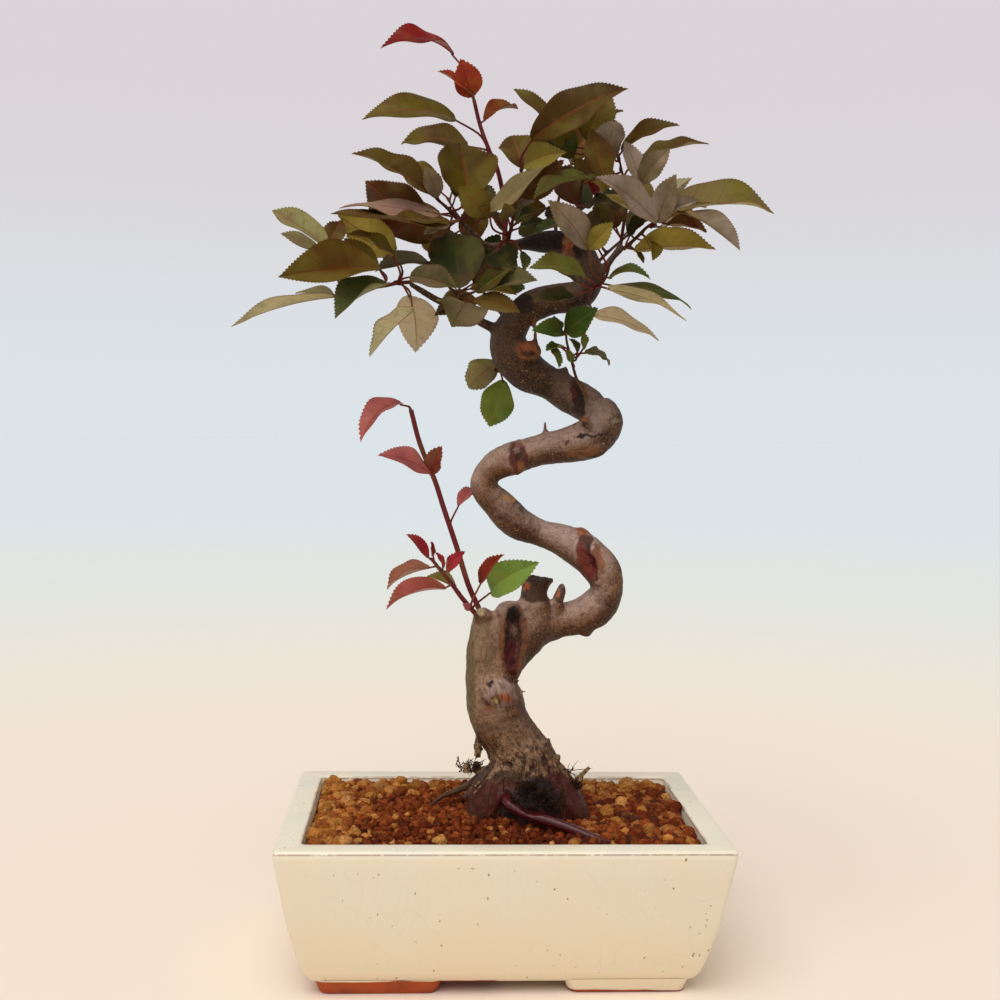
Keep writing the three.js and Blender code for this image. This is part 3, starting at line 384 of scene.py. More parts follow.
# For each zone, the tones of its grains and by how many mm they may be larger.
GRAIN_ZONES = {
    "left": (["#a8622a", "#bf8040", "#965222", "#a05a26"], [0.6, 1.4, 2.4, 3]),
    "back": (["#944e20", "#aa662c", "#84401a", "#b67838"], [0.3, 1, 1.8, 2.6]),
    "right": (["#7a3216", "#682810", "#8c441c", "#54281a", "#a06030"], [0.4, 1.2, 2.4, 3.4]),
    "front": (["#66280f", "#7c3416", "#521e0e"], [0, 0.2, 0.7]),
    "middle": (["#763216", "#883e1a", "#642810", "#94481e"], [0, 0.3, 1]),
}
TAN_TONES = ["#c07c3c", "#ca8c4e", "#b47434"]
# The largest tan grains that lie on top: [x, y, size in mm].
LARGE_GRAINS = [
    [-26, -44, 6.4], [19, -46, 7], [27, -46, 5.6], [13, -47, 4.8], [-76, -34, 6], [-70, -20, 6.4],
    [-66, 12, 6], [-72, 30, 6.6], [-60, 40, 6], [-52, 34, 6.8], [-44, 44, 5.6], [-74, 2, 5.4],
    [-64, -42, 5.6], [-56, 20, 5.4], [62, 42, 6.6], [72, 36, 6], [76, 20, 5.4], [48, -18, 6],
    [66, -40, 5.6], [42, 30, 7], [54, 8, 6.4], [74, -44, 5], [-36, 38, 5.4], [-74, 44, 5.8], [46, -2, 7],
    [60, -28, 6],
]


def grain_shape(draw, cuts):
    """A block worn round unevenly, about one unit across, with crumbled lumps."""
    bm = bmesh.new()
    bmesh.ops.create_cube(bm, size=1)
    bmesh.ops.subdivide_edges(bm, edges=bm.edges[:], cuts=cuts, use_grid_fill=True)
    squash = Vector([draw.uniform(*limits) for limits in GRAIN_SQUASH])
    shift = Vector((draw.random(), draw.random(), draw.random())) * 50
    for v in bm.verts:
        worn = v.co.normalized() * WORN_RADIUS
        lump = 1
        for lumps, height in GRAIN_LUMPS:
            lump += height * noise.noise(worn * lumps + shift)
        v.co = v.co.lerp(worn, WORN_SHARE) * lump * squash
    mesh = bpy.data.meshes.new("grain")
    bm.to_mesh(mesh)
    bm.free()
    return mesh


def grain_zone(x, y, draw):
    """The zone that a grain lies in. The zones run into each other by a few millimetres."""
    x += draw.gauss(0, STRAY_X) * MM
    y += draw.gauss(0, STRAY_Y) * MM
    if x < LEFT_ZONE:
        return "left"
    if y > BACK_ZONE:
        return "back"
    if x > RIGHT_ZONE:
        return "right"
    return "front" if y < FRONT_ZONE else "middle"


def soil_material():
    material, tree, shader = new_material("clay_grains", 0.95, 0.08)
    place = object_place(tree)
    tone = node(tree, "ShaderNodeAttribute", attribute_name="tone").outputs["Color"]
    fine = cloudy(tree, place, 900, 4)
    broad = cloudy(tree, place, 260, 2)
    shade = mix(tree, span(tree, fine, 0.35, 0.7), tone, mix(tree, 0.5, tone, (0.02, 0.008, 0.003, 1)))
    shade = mix(tree, times(tree, span(tree, broad, 0.55, 0.7), 0.25), shade, "#c07c40")
    feed(tree, shader, {"Base Color": shade, "Normal": dented(tree, fine, 0.7, 0.6 * MM)})
    return material


def colour_faces(faces, layer, colour):
    for face in faces:
        for loop in face.loops:
            loop[layer] = colour


def make_soil(material):
    draw = random.Random(11)
    bm = bmesh.new()
    bmesh.ops.create_cube(bm, size=1, matrix=block(
        (2 * CAVITY_HALF_X, 2 * CAVITY_HALF_Y, BED_LEVEL - BED_LOW), (0, 0, (BED_LEVEL + BED_LOW) / 2)))
    for v in bm.verts:
        if v.co.z < (BED_LEVEL + BED_LOW) / 2:
            v.co.x -= math.copysign(CAVITY_LEAN, v.co.x)
            v.co.y -= math.copysign(CAVITY_LEAN, v.co.y)
    tone = bm.loops.layers.float_color.new("tone")
    bmesh.ops.create_icosphere(bm, subdivisions=3, radius=1, matrix=block(MOUND_SIZE, (*MOUND, BED_LEVEL)))
    shapes = [grain_shape(draw, 1) for _ in range(SMALL_SHAPES)]
    large_shapes = [grain_shape(draw, 3) for _ in range(LARGE_SHAPES)]
    # The bed and the mound are near black: painted shade where they show between the grains.
    colour_faces(bm.faces, tone, rgb("#2c140b"))
    spots = []
    for j in range(int(2 * CAVITY_HALF_Y / ROW_PITCH)):
        for i in range(int(2 * CAVITY_HALF_X / GRAIN_PITCH)):
            x = -CAVITY_HALF_X + (i + 0.5 + 0.5 * (j % 2) + draw.uniform(*GRAIN_JITTER)) * GRAIN_PITCH
            y = -CAVITY_HALF_Y + (j + 0.6 + draw.uniform(*GRAIN_JITTER)) * ROW_PITCH
            spots.append((x, y, draw.uniform(*GRAIN_LIFT) * MM))
    for _ in range(LOOSE_GRAINS):
        spots.append((draw.uniform(-1, 1) * CAVITY_HALF_X, draw.uniform(-1, 1) * CAVITY_HALF_Y, LOOSE_LIFT))
    grains = []
    for x, y, lift in spots:
        tones, extras = GRAIN_ZONES[grain_zone(x, y, draw)]
        extra = draw.choice(extras)
        tones = TAN_TONES if draw.random() < TAN_SHARE else tones
        grains.append((x, y, lift, (draw.uniform(*GRAIN_SIZE) + extra) * MM, draw.choice(tones)))
    grains += [(x * MM, y * MM, LARGE_LIFT, size * MM, draw.choice(TAN_TONES)) for x, y, size in LARGE_GRAINS]
    for x, y, lift, size, code in grains:
        if abs(x) > CAVITY_HALF_X - size / 2 or abs(y) > CAVITY_HALF_Y - size / 2:
            continue
        known = len(bm.verts)
        bm.from_mesh(draw.choice(large_shapes if size > LARGE_FROM else shapes))
        bm.verts.ensure_lookup_table()
        turn = Euler([draw.uniform(*ANY_TURN) for _ in range(3)]).to_matrix()
        from_mound = ((x - MOUND[0]) / HEAP_REACH[0]) ** 2 + ((y - MOUND[1]) / HEAP_REACH[1]) ** 2
        swell = SWELL * noise.noise(Vector((x, y, 0)) * SWELLS_PER_METRE)
        swell += MOUND_SIZE[2] * math.exp(-from_mound)
        height = SOIL_LEVEL + lift + swell - SINK_SHARE * (size - COMMON_SIZE)
        light = draw.uniform(*GRAIN_LIGHT)
        faces = set()
        for v in bm.verts[known:]:
            v.co = turn @ v.co * size + Vector((x, y, height))
            faces.update(v.link_faces)
        colour_faces(faces, tone, (*(min(1, c * light) for c in rgb(code)[:3]), 1))
    for shape in shapes + large_shapes:
        bpy.data.meshes.remove(shape)
    return finish_piece("clay_grain_bed", bm, material, 75)


mounted(make_soil(soil_material()), "grains", "soil")

# The tree is living wood, grown in one piece: a stout bole on spreading surface roots, and two
# coils that were wired into shape while young, with cut stubs and healed or rotten wounds.
# Its limbs are drawn as tubes on their centre lines, grown together, hollowed and barked.

# The front view, from which the limbs and leaves are placed: where it is taken from in mm, its
# turns in degrees, and how far off its frame of 1000 units stands.
VIEWPOINT = Vector((-34, -551, 224))
VIEW_YAW, VIEW_PITCH, VIEW_ROLL = (math.radians(angle) for angle in (3.31, 3.06, 1.02))
VIEW_FOCAL = 1300
VIEW_CENTRE = 500
forward = Vector((math.sin(VIEW_YAW) * math.cos(VIEW_PITCH), math.cos(VIEW_YAW) * math.cos(VIEW_PITCH),
                  -math.sin(VIEW_PITCH)))
level = Vector((math.cos(VIEW_YAW), -math.sin(VIEW_YAW), 0))
roll = Matrix.Rotation(-VIEW_ROLL, 3, forward)
across = roll @ level
upwards = roll @ level.cross(forward)


def seen(u, v, y):
    """The point at depth y mm that shows at (u, v) in the front view's frame of 1000 units."""
    ray = forward + across * ((u - VIEW_CENTRE) / VIEW_FOCAL) + upwards * ((VIEW_CENTRE - v) / VIEW_FOCAL)
    return (VIEWPOINT + ray * ((y - VIEWPOINT.y) / ray.y)) * MM


def shown_at(points):
    """The u and v at which points show in the front view."""
    from_eye = points / MM - np.array(VIEWPOINT)
    away = from_eye @ np.array(forward)
    return (VIEW_CENTRE + VIEW_FOCAL * (from_eye @ np.array(across)) / away,
            VIEW_CENTRE - VIEW_FOCAL * (from_eye @ np.array(upwards)) / away)


# Limbs as rows of [u, v, depth in mm, radius in mm].
BOLE = [
    [528, 868, 2, 18], [527, 830, 1, 22], [526, 803, 0, 21], [524, 781, 0, 17.6], [522.5, 760, 0, 14.3],
    [512, 740, 0, 12.1], [500, 720, 0, 12.2], [494.5, 700, 0, 12.3], [489, 680, 0, 10.4],
    [485, 660, 0, 8.4], [484, 640, 0, 6.8], [484, 624, 0, 5.4], [483.5, 613, 0, 4.2],
]
LOWER_COIL = [
    [500, 688, -1, 6], [508, 657, -1, 8.6], [527, 629, 0, 10.8], [556, 621, 2, 7.7],
    [578, 617, 1, 7.4], [597, 607, -2, 8.2], [607, 590, -5, 6.9], [603, 572, -5, 7.6],
    [590, 557, -3, 8], [574, 546, 0, 7.8], [557, 538, 2, 6.4], [540, 533, 4, 5.9],
    [519, 524, 4, 7], [503, 509, 3, 7.2], [484, 488, 0, 5.6], [487, 474, -1, 5.6],
    [500, 463, -3, 6.4], [514, 458, -4, 7], [538, 450, -6, 6.6], [567, 445, -7, 7.6],
    [590, 438, -8, 8.6], [604, 422, -8, 8.2], [597, 407, -4, 6.6],
]
UPPER_COIL = [
    [598, 424, -6, 5], [588, 406, 0, 7.6], [568, 394, 6, 7.6], [549, 383, 8, 7.2],
    [528, 372, 7, 8.6], [513, 356, 4, 8.8], [508, 338, 3, 7.5], [518, 318, 1, 6.6],
    [535, 305, -2, 6.8], [555, 299, -4, 6.4], [577, 296, -6, 6.4], [589, 284, -5, 5.6],
    [589, 267, -3, 5.4], [580, 252, 2, 5.4], [562, 243, 4, 5.2], [540, 242, 5, 4.6],
    [522, 244, 5, 2.6], [507, 246, 3, 2.1], [493, 247, 1, 1.9],
]
BRANCHES = [
    [[505, 333, 4, 2.6], [481, 322, 0, 2.1], [458, 309, -6, 1.8], [437, 300, -10, 1.6],
     [422, 291, -14, 1.5], [409, 283, -17, 1.2]],
    [[499, 247, 2, 1.8], [484, 245, 0, 1.7], [474, 234, -2, 1.5], [463, 224, -4, 1.1]],
    [[588, 280, -5, 2.6], [598, 276, -7, 2.2], [607, 265, -7, 1.8], [613, 257, -6, 1.6],
     [620, 249, -5, 1.8]],
]
STUMPS = [
    [[500, 247, 3, 1.6], [504, 241, 4, 1]], [[504, 247, 1, 1.6], [507, 244, -1, 1]],
    [[577, 250, 3, 2.4], [575, 233, 4, 1]], [[619, 249, -5, 1.5], [621, 241.5, -4, 1]],
    [[620, 249, -5, 1.5], [625, 247, -6.5, 1]], [[588, 288, -6, 2], [588, 290, -12, 1]],
    [[459, 309, -6, 1.4], [460, 303, -8, 1]], [[594, 410, -8, 2], [586.5, 396, -8.5, 1]],
    [[512, 366, 6, 3], [504, 371, 12, 1.2]], [[482, 618, -1, 2.5], [478, 607, -1, 1]],
    [[480, 620, -3, 2.5], [473, 611, -6, 1]], [[508, 326, 3, 3], [506, 320, 12, 1.1]],
    [[589, 272, -3, 3], [592, 269, 5, 1.1]], [[558, 242, 4, 3], [556, 237, 11, 1.1]],
    [[480, 243, 0, 1.4], [478, 240, 6, 1]], [[473, 320, -2, 1.3], [465, 328, -5, 0.7]],
    [[534, 618, -2, 8], [534, 604, -3, 6.9], [534, 593, -3, 5.6], [535.5, 584, -3, 6], [537, 577, -3, 7.2]],
    [[556, 614, -2, 3.4], [557.5, 601, -4, 2.6], [561, 592, -4, 2.4], [562, 583, -4, 1.2]],
    [[523, 582, -5, 1.6], [521, 577, -6, 0.5]], [[548, 581, -3, 2.2], [554.5, 580, -3, 0.8]],
    [[530, 580, -6, 1.4], [531, 574.5, -7, 0.5]], [[545, 580, -6, 1.6], [546, 575, -6.5, 0.5]],
    [[489, 617, -3, 3], [481, 609, -4, 1.9]], [[591, 428, -14, 2.6], [581, 417, -16, 1.3]],
    [[546, 447, -8, 2], [545, 433, -9, 1.3], [545.5, 421, -9, 0.8]], [[553, 378, 7, 3], [568, 369, 6, 1.6]],
    [[536, 352, 0, 1.5], [535, 330, -3, 1], [534, 312, -4, 1.1]], [[566, 252, 1, 3], [571, 238, 0, 2]],
    [[543, 758, -6, 3.6], [546, 748, -7, 2.2], [549.6, 736, -8, 0.7]],
    [[556, 762, -4, 2], [560, 754, -4, 0.9]],
]
ROOTS = [
    [[507, 766, -3, 7], [491, 791, -9, 8.6], [484, 812, -12, 7.6], [480, 836, -13, 6]],
    [[541, 764, -2, 7], [559, 790, -5, 7.8], [576, 814, -8, 5.8], [588, 838, -8, 4]],
    [[530, 770, 6, 9], [545, 795, 16, 9], [556, 812, 24, 6], [562, 826, 28, 4]],
    [[512, 772, 6, 9], [490, 792, 15, 8], [468, 806, 22, 5], [450, 818, 26, 3.5]],
    [[488, 770, 2, 3.4], [474, 782, 3, 2.2], [458, 790, 4, 1.7], [443, 796, 5, 1.3], [430, 806, 6, 1]],
    [[507, 795, -15, 2.2], [507, 803, -22, 2.3], [519, 811, -24.5, 2.1], [542, 819, -27.5, 2.4],
     [569, 828, -31.5, 2.4], [592, 838, -37, 2.25], [610, 845, -40, 1.9], [622, 857, -41, 1.5]],
]
# Burrs and hollows: [u, v, depth, [half-axes along X, Y, Z in mm], lean about Y].
BURRS = [
    [513.5, 638, -8.2, [6.3, 3.9, 15.4], -0.03], [510, 611.5, -3, [6.4, 7, 4.6], 0],
    [498, 645, -2.4, [6, 5.4, 15], 0], [588, 446, -13.6, [8.4, 3, 5.2], 0.12],
    [518, 457, -9.2, [4.6, 3.4, 8], 0.1], [497, 693, -10.4, [7, 3.4, 7], 0.2],
    [580.5, 534.5, -1, [4.2, 5, 3.4], 0.3], [586, 631, 0, [3.2, 3.4, 2.6], 0],
    [528, 351, -3.4, [6, 3, 4.6], 0.1],
]
HOLLOWS = [
    [513.5, 629, -12.8, [3.8, 4.8, 8.2], -0.05], [513, 648, -12.2, [3.5, 4.2, 11.6], 0.04],
    [537, 794, -24, [9.6, 8, 9], 0.3], [587, 560, -12, [3.2, 3.2, 10], -0.36],
    [497, 702, -14.4, [2.6, 2, 2.2], 0], [490, 684, -12.2, [1.3, 1.6, 1.2], 0],
    [518, 457, -14, [2.8, 2.4, 5.4], 0.1], [528, 351, -7.6, [4.6, 2.6, 3], 0.1],
    [538, 574, -3, [5.2, 5.2, 2.2], 0],
]
# What weather, rot and the saw have left on the bark: [u, v, half-breadth, half-height in frame
# units, lean in degrees, tone, share]. Lean turns the mark clockwise as it is seen.
MARKS = [
    # The long cleft in the bole, lined with callus.
    [513.5, 640, 15, 40, 2, "callus", 0.85], [513.5, 640, 9, 32, 3, "umber", 0.9],
    [513, 621, 5, 13, 2, "rot", 0.9], [514, 631, 4, 6, 4, "frayed", 0.7],
    [511, 655, 8, 15, 12, "crimson", 1], [517, 650, 1.6, 9, 14, "rose", 0.7],
    [513.5, 615, 7, 9, 0, "dark", 1], [513, 668, 5, 9, 8, "crimson", 0.9],
    # The knot below it, and the algae down the bole's left side.
    [500, 693, 17, 17, 0, "mauve", 0.7], [500, 700, 12, 7, 10, "dark", 0.25],
    [506, 698, 8, 5, 14, "orange", 0.85], [495.5, 701, 5.6, 5, 0, "rust", 0.9],
    [495.5, 701, 3.4, 3.2, 0, "pith", 0.95], [488, 709, 7, 2.5, -20, "rust", 0.7],
    [490, 684, 3.6, 3.2, 0, "dark", 0.9], [513, 691, 3, 3, 0, "rust", 0.5],
    [468, 675, 9, 60, 0, "olive", 0.7], [482, 645, 14, 36, 0, "olive", 0.5],
    # The stub with its rotten top, the small one beside it, and the bole's cut top.
    [536, 592, 18, 12, 0, "umber", 0.9], [538, 577, 24, 6, 0, "dark", 0.95],
    [526.5, 587, 2.8, 4.8, 12, "orange", 1], [559, 592, 5, 11, 8, "umber", 0.8],
    [557.6, 593, 1.3, 6, 12, "orange", 0.9], [481, 611, 3.4, 4.4, 0, "cream", 0.95],
    # The peeled wound at the lower coil's first bend.
    [582, 530, 7.5, 5.5, 20, "orange", 0.95], [585, 542, 8, 8, -20, "maroon", 0.9],
    [599, 559, 5.5, 16, -14, "callus", 0.9], [602, 558, 2.4, 11, -14, "orange", 0.6],
    [586, 562, 8, 20, -22, "flesh", 1], [592, 558, 2.2, 17, -20, "crimson", 1],
    [588, 546, 3.6, 4, 0, "umber", 0.9],
    # Knots along the lower coil, and the fold of bark at its second bend.
    [510.5, 498, 6.5, 4.6, 20, "sawn", 1], [521, 509, 5, 2.5, 24, "umber", 0.6],
    [518, 457, 10, 18, -8, "maroon", 0.9], [518, 452, 4, 7, -8, "umber", 0.8],
    [519, 443, 5, 3.4, 20, "rose", 0.6], [521, 466, 4, 6, -8, "rust", 0.9],
    # The small pale mauve mark at (517, 449) is a painted highlight on the knot.
    [517, 449, 3, 4, 0, "mauve", 0.5], [590, 435.5, 19, 1.7, -3, "dark", 1],
    [584, 451.5, 18, 6.5, -8, "callus", 0.8], [590, 458, 13, 2, -12, "dark", 0.9],
    [567, 443, 2.4, 5, 16, "umber", 0.8], [607, 441, 1.9, 6, 24, "umber", 0.8],
    [615, 421, 6, 4.6, 0, "umber", 0.8], [615, 421, 3.8, 2.6, 0, "frayed", 0.9],
    # The crotch that the upper coil starts from: maroon bark, with dark marks that paint the shade deep in
    # the crotch.
    [578, 398, 7, 25, -10, "maroon", 1], [580, 392, 4, 16, -10, "dark", 0.9],
    [579, 408, 7, 13, 0, "dark", 0.8], [572, 419, 7, 6, 0, "maroon", 0.9],
    [585, 419, 5, 3, 10, "rust", 0.8],
    # The upper coil's burr, and the weathered limb in the crown, where the broad dark mark at (556, 246) is
    # the crown's shadow, painted on.
    [528, 350, 14, 12, 10, "rust", 0.8], [527, 348, 10, 8, 14, "orange", 0.7],
    [530, 353, 6, 3, 10, "dark", 0.7], [524, 303, 11, 13, -20, "dark", 0.9],
    [541, 375, 4, 4, 0, "rust", 0.6], [535, 330, 3, 16, 0, "rust", 0.8], [556, 246, 40, 17, 0, "dark", 1],
    [568, 247, 5, 15, 8, "orange", 1], [571, 257, 4, 9, -14, "rust", 0.9], [566, 240, 3, 5, 0, "sawn", 0.5],
    [590, 272, 14, 28, 0, "umber", 0.6],
    # The surface roots.
    [485, 797, 19, 19, 0, "maroon", 1], [507, 790, 12, 14, 0, "maroon", 0.9],
    [487, 790, 5, 3, 10, "crimson", 0.5], [566, 798, 15, 32, -28, "maroon", 0.9],
    [540, 797, 26, 21, 8, "dark", 1], [511, 806, 12, 16, 0, "dark", 0.9],
    [537, 764, 14, 7, 32, "rose", 0.4], [553, 776, 5, 18, -30, "crimson", 0.6],
    [560, 790, 4, 16, -28, "crimson", 0.5], [482, 774, 5, 12, 30, "dark", 0.6],
    [508, 775, 18, 7, 0, "umber", 0.7],
]
MARK_TONES = {
    "dark": "#20120b", "frayed": "#86705e", "flesh": "#702c22", "crimson": "#500f14",
    "rust": "#84502c", "mauve": "#b09388", "orange": "#a85c38", "pith": "#b9a766",
    "olive": "#6a5e34", "cream": "#e0c79c", "maroon": "#521d10", "callus": "#7c4c2c",
    "rose": "#8e5a50", "umber": "#3a2215", "sawn": "#c08a5c", "rot": "#5e3a28",
}
# Tones inside the hollows, on the wet root, close to the soil and on the root that dries out.
HOLLOW_TONE, WET_TONE, SOILED_TONE, DRY_TONE = "#34180f", "#520a0e", "#46190f", "#5a4028"
# How far out from their middle marks and hollows fade, where one is their edge, and how far the
# bark may turn from the front view before marks fade.
MARK_FADE = (1.2, 0.75)
HOLLOW_FADE = (1.2, 0.98)
TURNED_FADE = (-0.35, 0.1)
# The bark's relief: [stretch, ridges in a mm, shift, height in mm on smooth and on rough bark].
# Fibres and rings follow the grain. Lumps lift the skin without changing its colour.
GRAIN_RELIEF = [
    [(1, 1, 0.13), 0.42, 0, 0.06, 1.06],
    [(1, 1, 0.2), 0.95, 3, 0.08, 0.68],
    [(0.12, 0.12, 1), 0.55, 17, 0.1, 0],
]
WART_RELIEF = [[(1, 1, 1), 0.62, 19, 0.1, 0.25]]
LUMP_RELIEF = [[(1, 1, 1), 0.11, 7, 0.45, 0.45], [(1, 1, 1), 0.3, 13, 0.14, 0.39]]
HOLLOW_RELIEF = [[(1, 1, 0.4), 0.8, 23, 1.3, 1.3]]
ROUGH_SUNK = 0.3
# Limbs thinner than this have less relief, down to a least share. A wet root has less too.
FULL_RELIEF_RADIUS = 7 * MM
LEAST_RELIEF = 0.12
WET_SMOOTHING = 0.8
# Heights in mm between which the bark turns rough, less rough on the roots, soiled and damp.
ROUGH_HEIGHTS = (104, 80)
ROOT_HEIGHTS = (78, 70)
ROOT_SMOOTHING = 0.6
SOILED_HEIGHTS = (84, 70)
SOILED_SHARE = 0.9
DAMP_HEIGHTS = (84, 72)
DAMP_SHARE = 0.16
# Each limb's grain starts elsewhere, so that the bark doesn't repeat from limb to limb.
GRAIN_STEP = 0.37
# How far the edges of marks wander: [amount in frame units, waves in a mm, shifts for u and v].
MARK_WANDER = [[2.6, 0.4, 31, 41], [1.2, 1.1, 37, 43]]
# The red root that lies wet on the soil, and the thin one that dries out from here to there.
WET_ROOT = 5
DRY_ROOT = 4
DRY_FROM, DRY_TO = (474, 780, 3), (466, 780, 3)
STOUT_RADIUS = 4 * MM
STOUT_SIDES, THIN_SIDES = 28, 12
# Places nearer to each other than this are one.
TOUCHING = 1e-6
# So many places are measured at once, which spares memory.
PLACES_AT_ONCE = 4000
# The limbs are grown together twice, before and after they are hollowed: [voxel, smoothing].
FIRST_GROWTH = (0.8 * MM, 4)
LAST_GROWTH = (0.69 * MM, 2)


def curve_point(before, here, ahead, after, t):
    """A point on the smooth curve that runs from here to ahead."""
    return 0.5 * (2 * here + (ahead - before) * t + (2 * before - 5 * here + 4 * ahead - after) * t**2
                  + (3 * here - before - 3 * ahead + after) * t**3)


def centre_line(rows, step=1.2 * MM):
    """A smooth line through limb rows, as [x, y, z, radius] in metres."""
    knots = np.array([[*seen(u, v, y), radius * MM] for u, v, y, radius in rows])
    run = np.vstack([2 * knots[0] - knots[1], knots, 2 * knots[-1] - knots[-2]])
    line = []
    for before, here, ahead, after in zip(run, run[1:], run[2:], run[3:]):
        count = max(2, round(np.linalg.norm(ahead[:3] - here[:3]) / step))
        line += [curve_point(before, here, ahead, after, t) for t in np.arange(count) / count]
    line.append(knots[-1])
    return np.array(line)


def spokes(line):
    """For every place on a line, the direction that it runs in and two directions square to it."""
    frames = []
    side = None
    for i in range(len(line)):
        run = Vector(line[min(i + 1, len(line) - 1)][:3] - line[max(i - 1, 0)][:3]).normalized()
        side = run.orthogonal() if side is None else side
        side = (side - run * side.dot(run)).normalized()
        frames.append((run, side, run.cross(side)))
    return frames


def tube(bm, line, sides):
    """Wraps a grid round a line of places and radii, and closes its seam and its ends."""
    skin = bmesh.ops.create_grid(bm, x_segments=sides, y_segments=len(line) - 1, size=1)["verts"]
    for i, (place, (_, side, other)) in enumerate(zip(line, spokes(line))):
        for k in range(sides + 1):
            turn = 2 * math.pi * k / sides
            spoke = side * math.cos(turn) + other * math.sin(turn)
            skin[i * (sides + 1) + k].co = Vector(place[:3]) + spoke * place[3]
    seam = [skin[i * (sides + 1) + k] for i in range(len(line)) for k in (0, sides)]
    bmesh.ops.remove_doubles(bm, verts=seam, dist=TOUCHING)
    bmesh.ops.holes_fill(bm, edges=[e for e in bm.edges if e.is_boundary], sides=sides)
    bmesh.ops.recalc_face_normals(bm, faces=bm.faces[:])


def into_lump(points, row):
    """Places as they lie in a burr or hollow, whose skin is one away from its middle."""
    u, v, y, halves, lean = row
    turn = np.array(Matrix.Rotation(lean, 3, "Y"))
    return (points - np.array(seen(u, v, y))) @ turn / (np.array(halves) * MM)


def hollow_out(points, row):
    """Sinks the skin inside a hollow to its far side, down where the hollow opens upwards."""
    u, v, y, halves, lean = row
    inner = into_lump(points, row)
    inside = (inner**2).sum(1) < 1
    depth_axis = 2 if halves[2] < 0.6 * halves[1] else 1
    sink = -1 if depth_axis == 2 else 1
    flat = [a for a in range(3) if a != depth_axis]
    inner[inside, depth_axis] = sink * np.sqrt(1 - (inner[inside][:, flat] ** 2).sum(1))
    turn = np.array(Matrix.Rotation(lean, 3, "Y"))
    back = inner * np.array(halves) * MM @ turn.T + np.array(seen(u, v, y))
    points[inside] = back[inside]


def read_all(items, field):
    """A vector for each item of a mesh, such as the place of every vertex."""
    values = np.empty(len(items) * 3, np.float32)
    items.foreach_get(field, values)
    return values.reshape(-1, 3).astype(float)


def set_places(mesh, points):
    mesh.vertices.foreach_set("co", points.astype(np.float32).ravel())
    mesh.update()


def store(mesh, name, kind, values):
    """Keeps one value for every vertex, for the material to read."""
    layer = mesh.attributes.new(name, kind, "POINT")
    field = {"FLOAT": "value", "FLOAT_VECTOR": "vector", "FLOAT_COLOR": "color"}[kind]
    layer.data.foreach_set(field, np.asarray(values, np.float32).ravel())


def smooth_step(value, low, high):
    """0 at low and 1 at high, with a soft step between."""
    share = np.clip((value - low) / (high - low), 0, 1)
    return share * share * (3 - 2 * share)


def noise_at(points, scale, offset=0.0):
    shift = Vector((offset, -offset, 2 * offset))
    return np.array([noise.noise(Vector(p) * scale + shift) for p in points])


def relief(points, rows, rough):
    """How far rows of relief lift the skin at each point, in mm."""
    return sum(noise_at(points * stretch / MM, scale, shift) * (smooth + (rugged - smooth) * rough)
               for stretch, scale, shift, smooth, rugged in rows)


def grow_voxels(piece, size, smoothing):
    """Grows all closed shapes of a piece into one skin of even squares."""
    grown = piece.modifiers.new("grown_together", "REMESH")
    grown.mode = "VOXEL"
    grown.voxel_size = size
    eased = piece.modifiers.new("eased", "SMOOTH")
    eased.iterations = smoothing
    return bake_modifiers(piece)


def limb_coordinates(points, lines):
    """For every place: the limb that it is on, the turn round it, the way along it, its radius."""
    centres = np.vstack([line[:, :3] for line in lines])
    radii = np.concatenate([line[:, 3] for line in lines])
    frames = [frame_here for line in lines for frame_here in spokes(line)]
    sides = np.array([f[1] for f in frames])
    others = np.array([f[2] for f in frames])
    owner = np.concatenate([np.full(len(line), i) for i, line in enumerate(lines)])
    steps = [np.linalg.norm(np.diff(line[:, :3], axis=0, prepend=line[:1, :3]), axis=1) for line in lines]
    ways = np.concatenate([np.cumsum(step) for step in steps])
    nearest = np.empty(len(points), int)
    for low in range(0, len(points), PLACES_AT_ONCE):
        part = slice(low, low + PLACES_AT_ONCE)
        nearest[part] = (np.linalg.norm(points[part, None] - centres[None], axis=2) - radii).argmin(1)
    spoke = points - centres[nearest]
    turn = np.arctan2((spoke * others[nearest]).sum(1), (spoke * sides[nearest]).sum(1))
    return owner[nearest], turn, ways[nearest], radii[nearest]


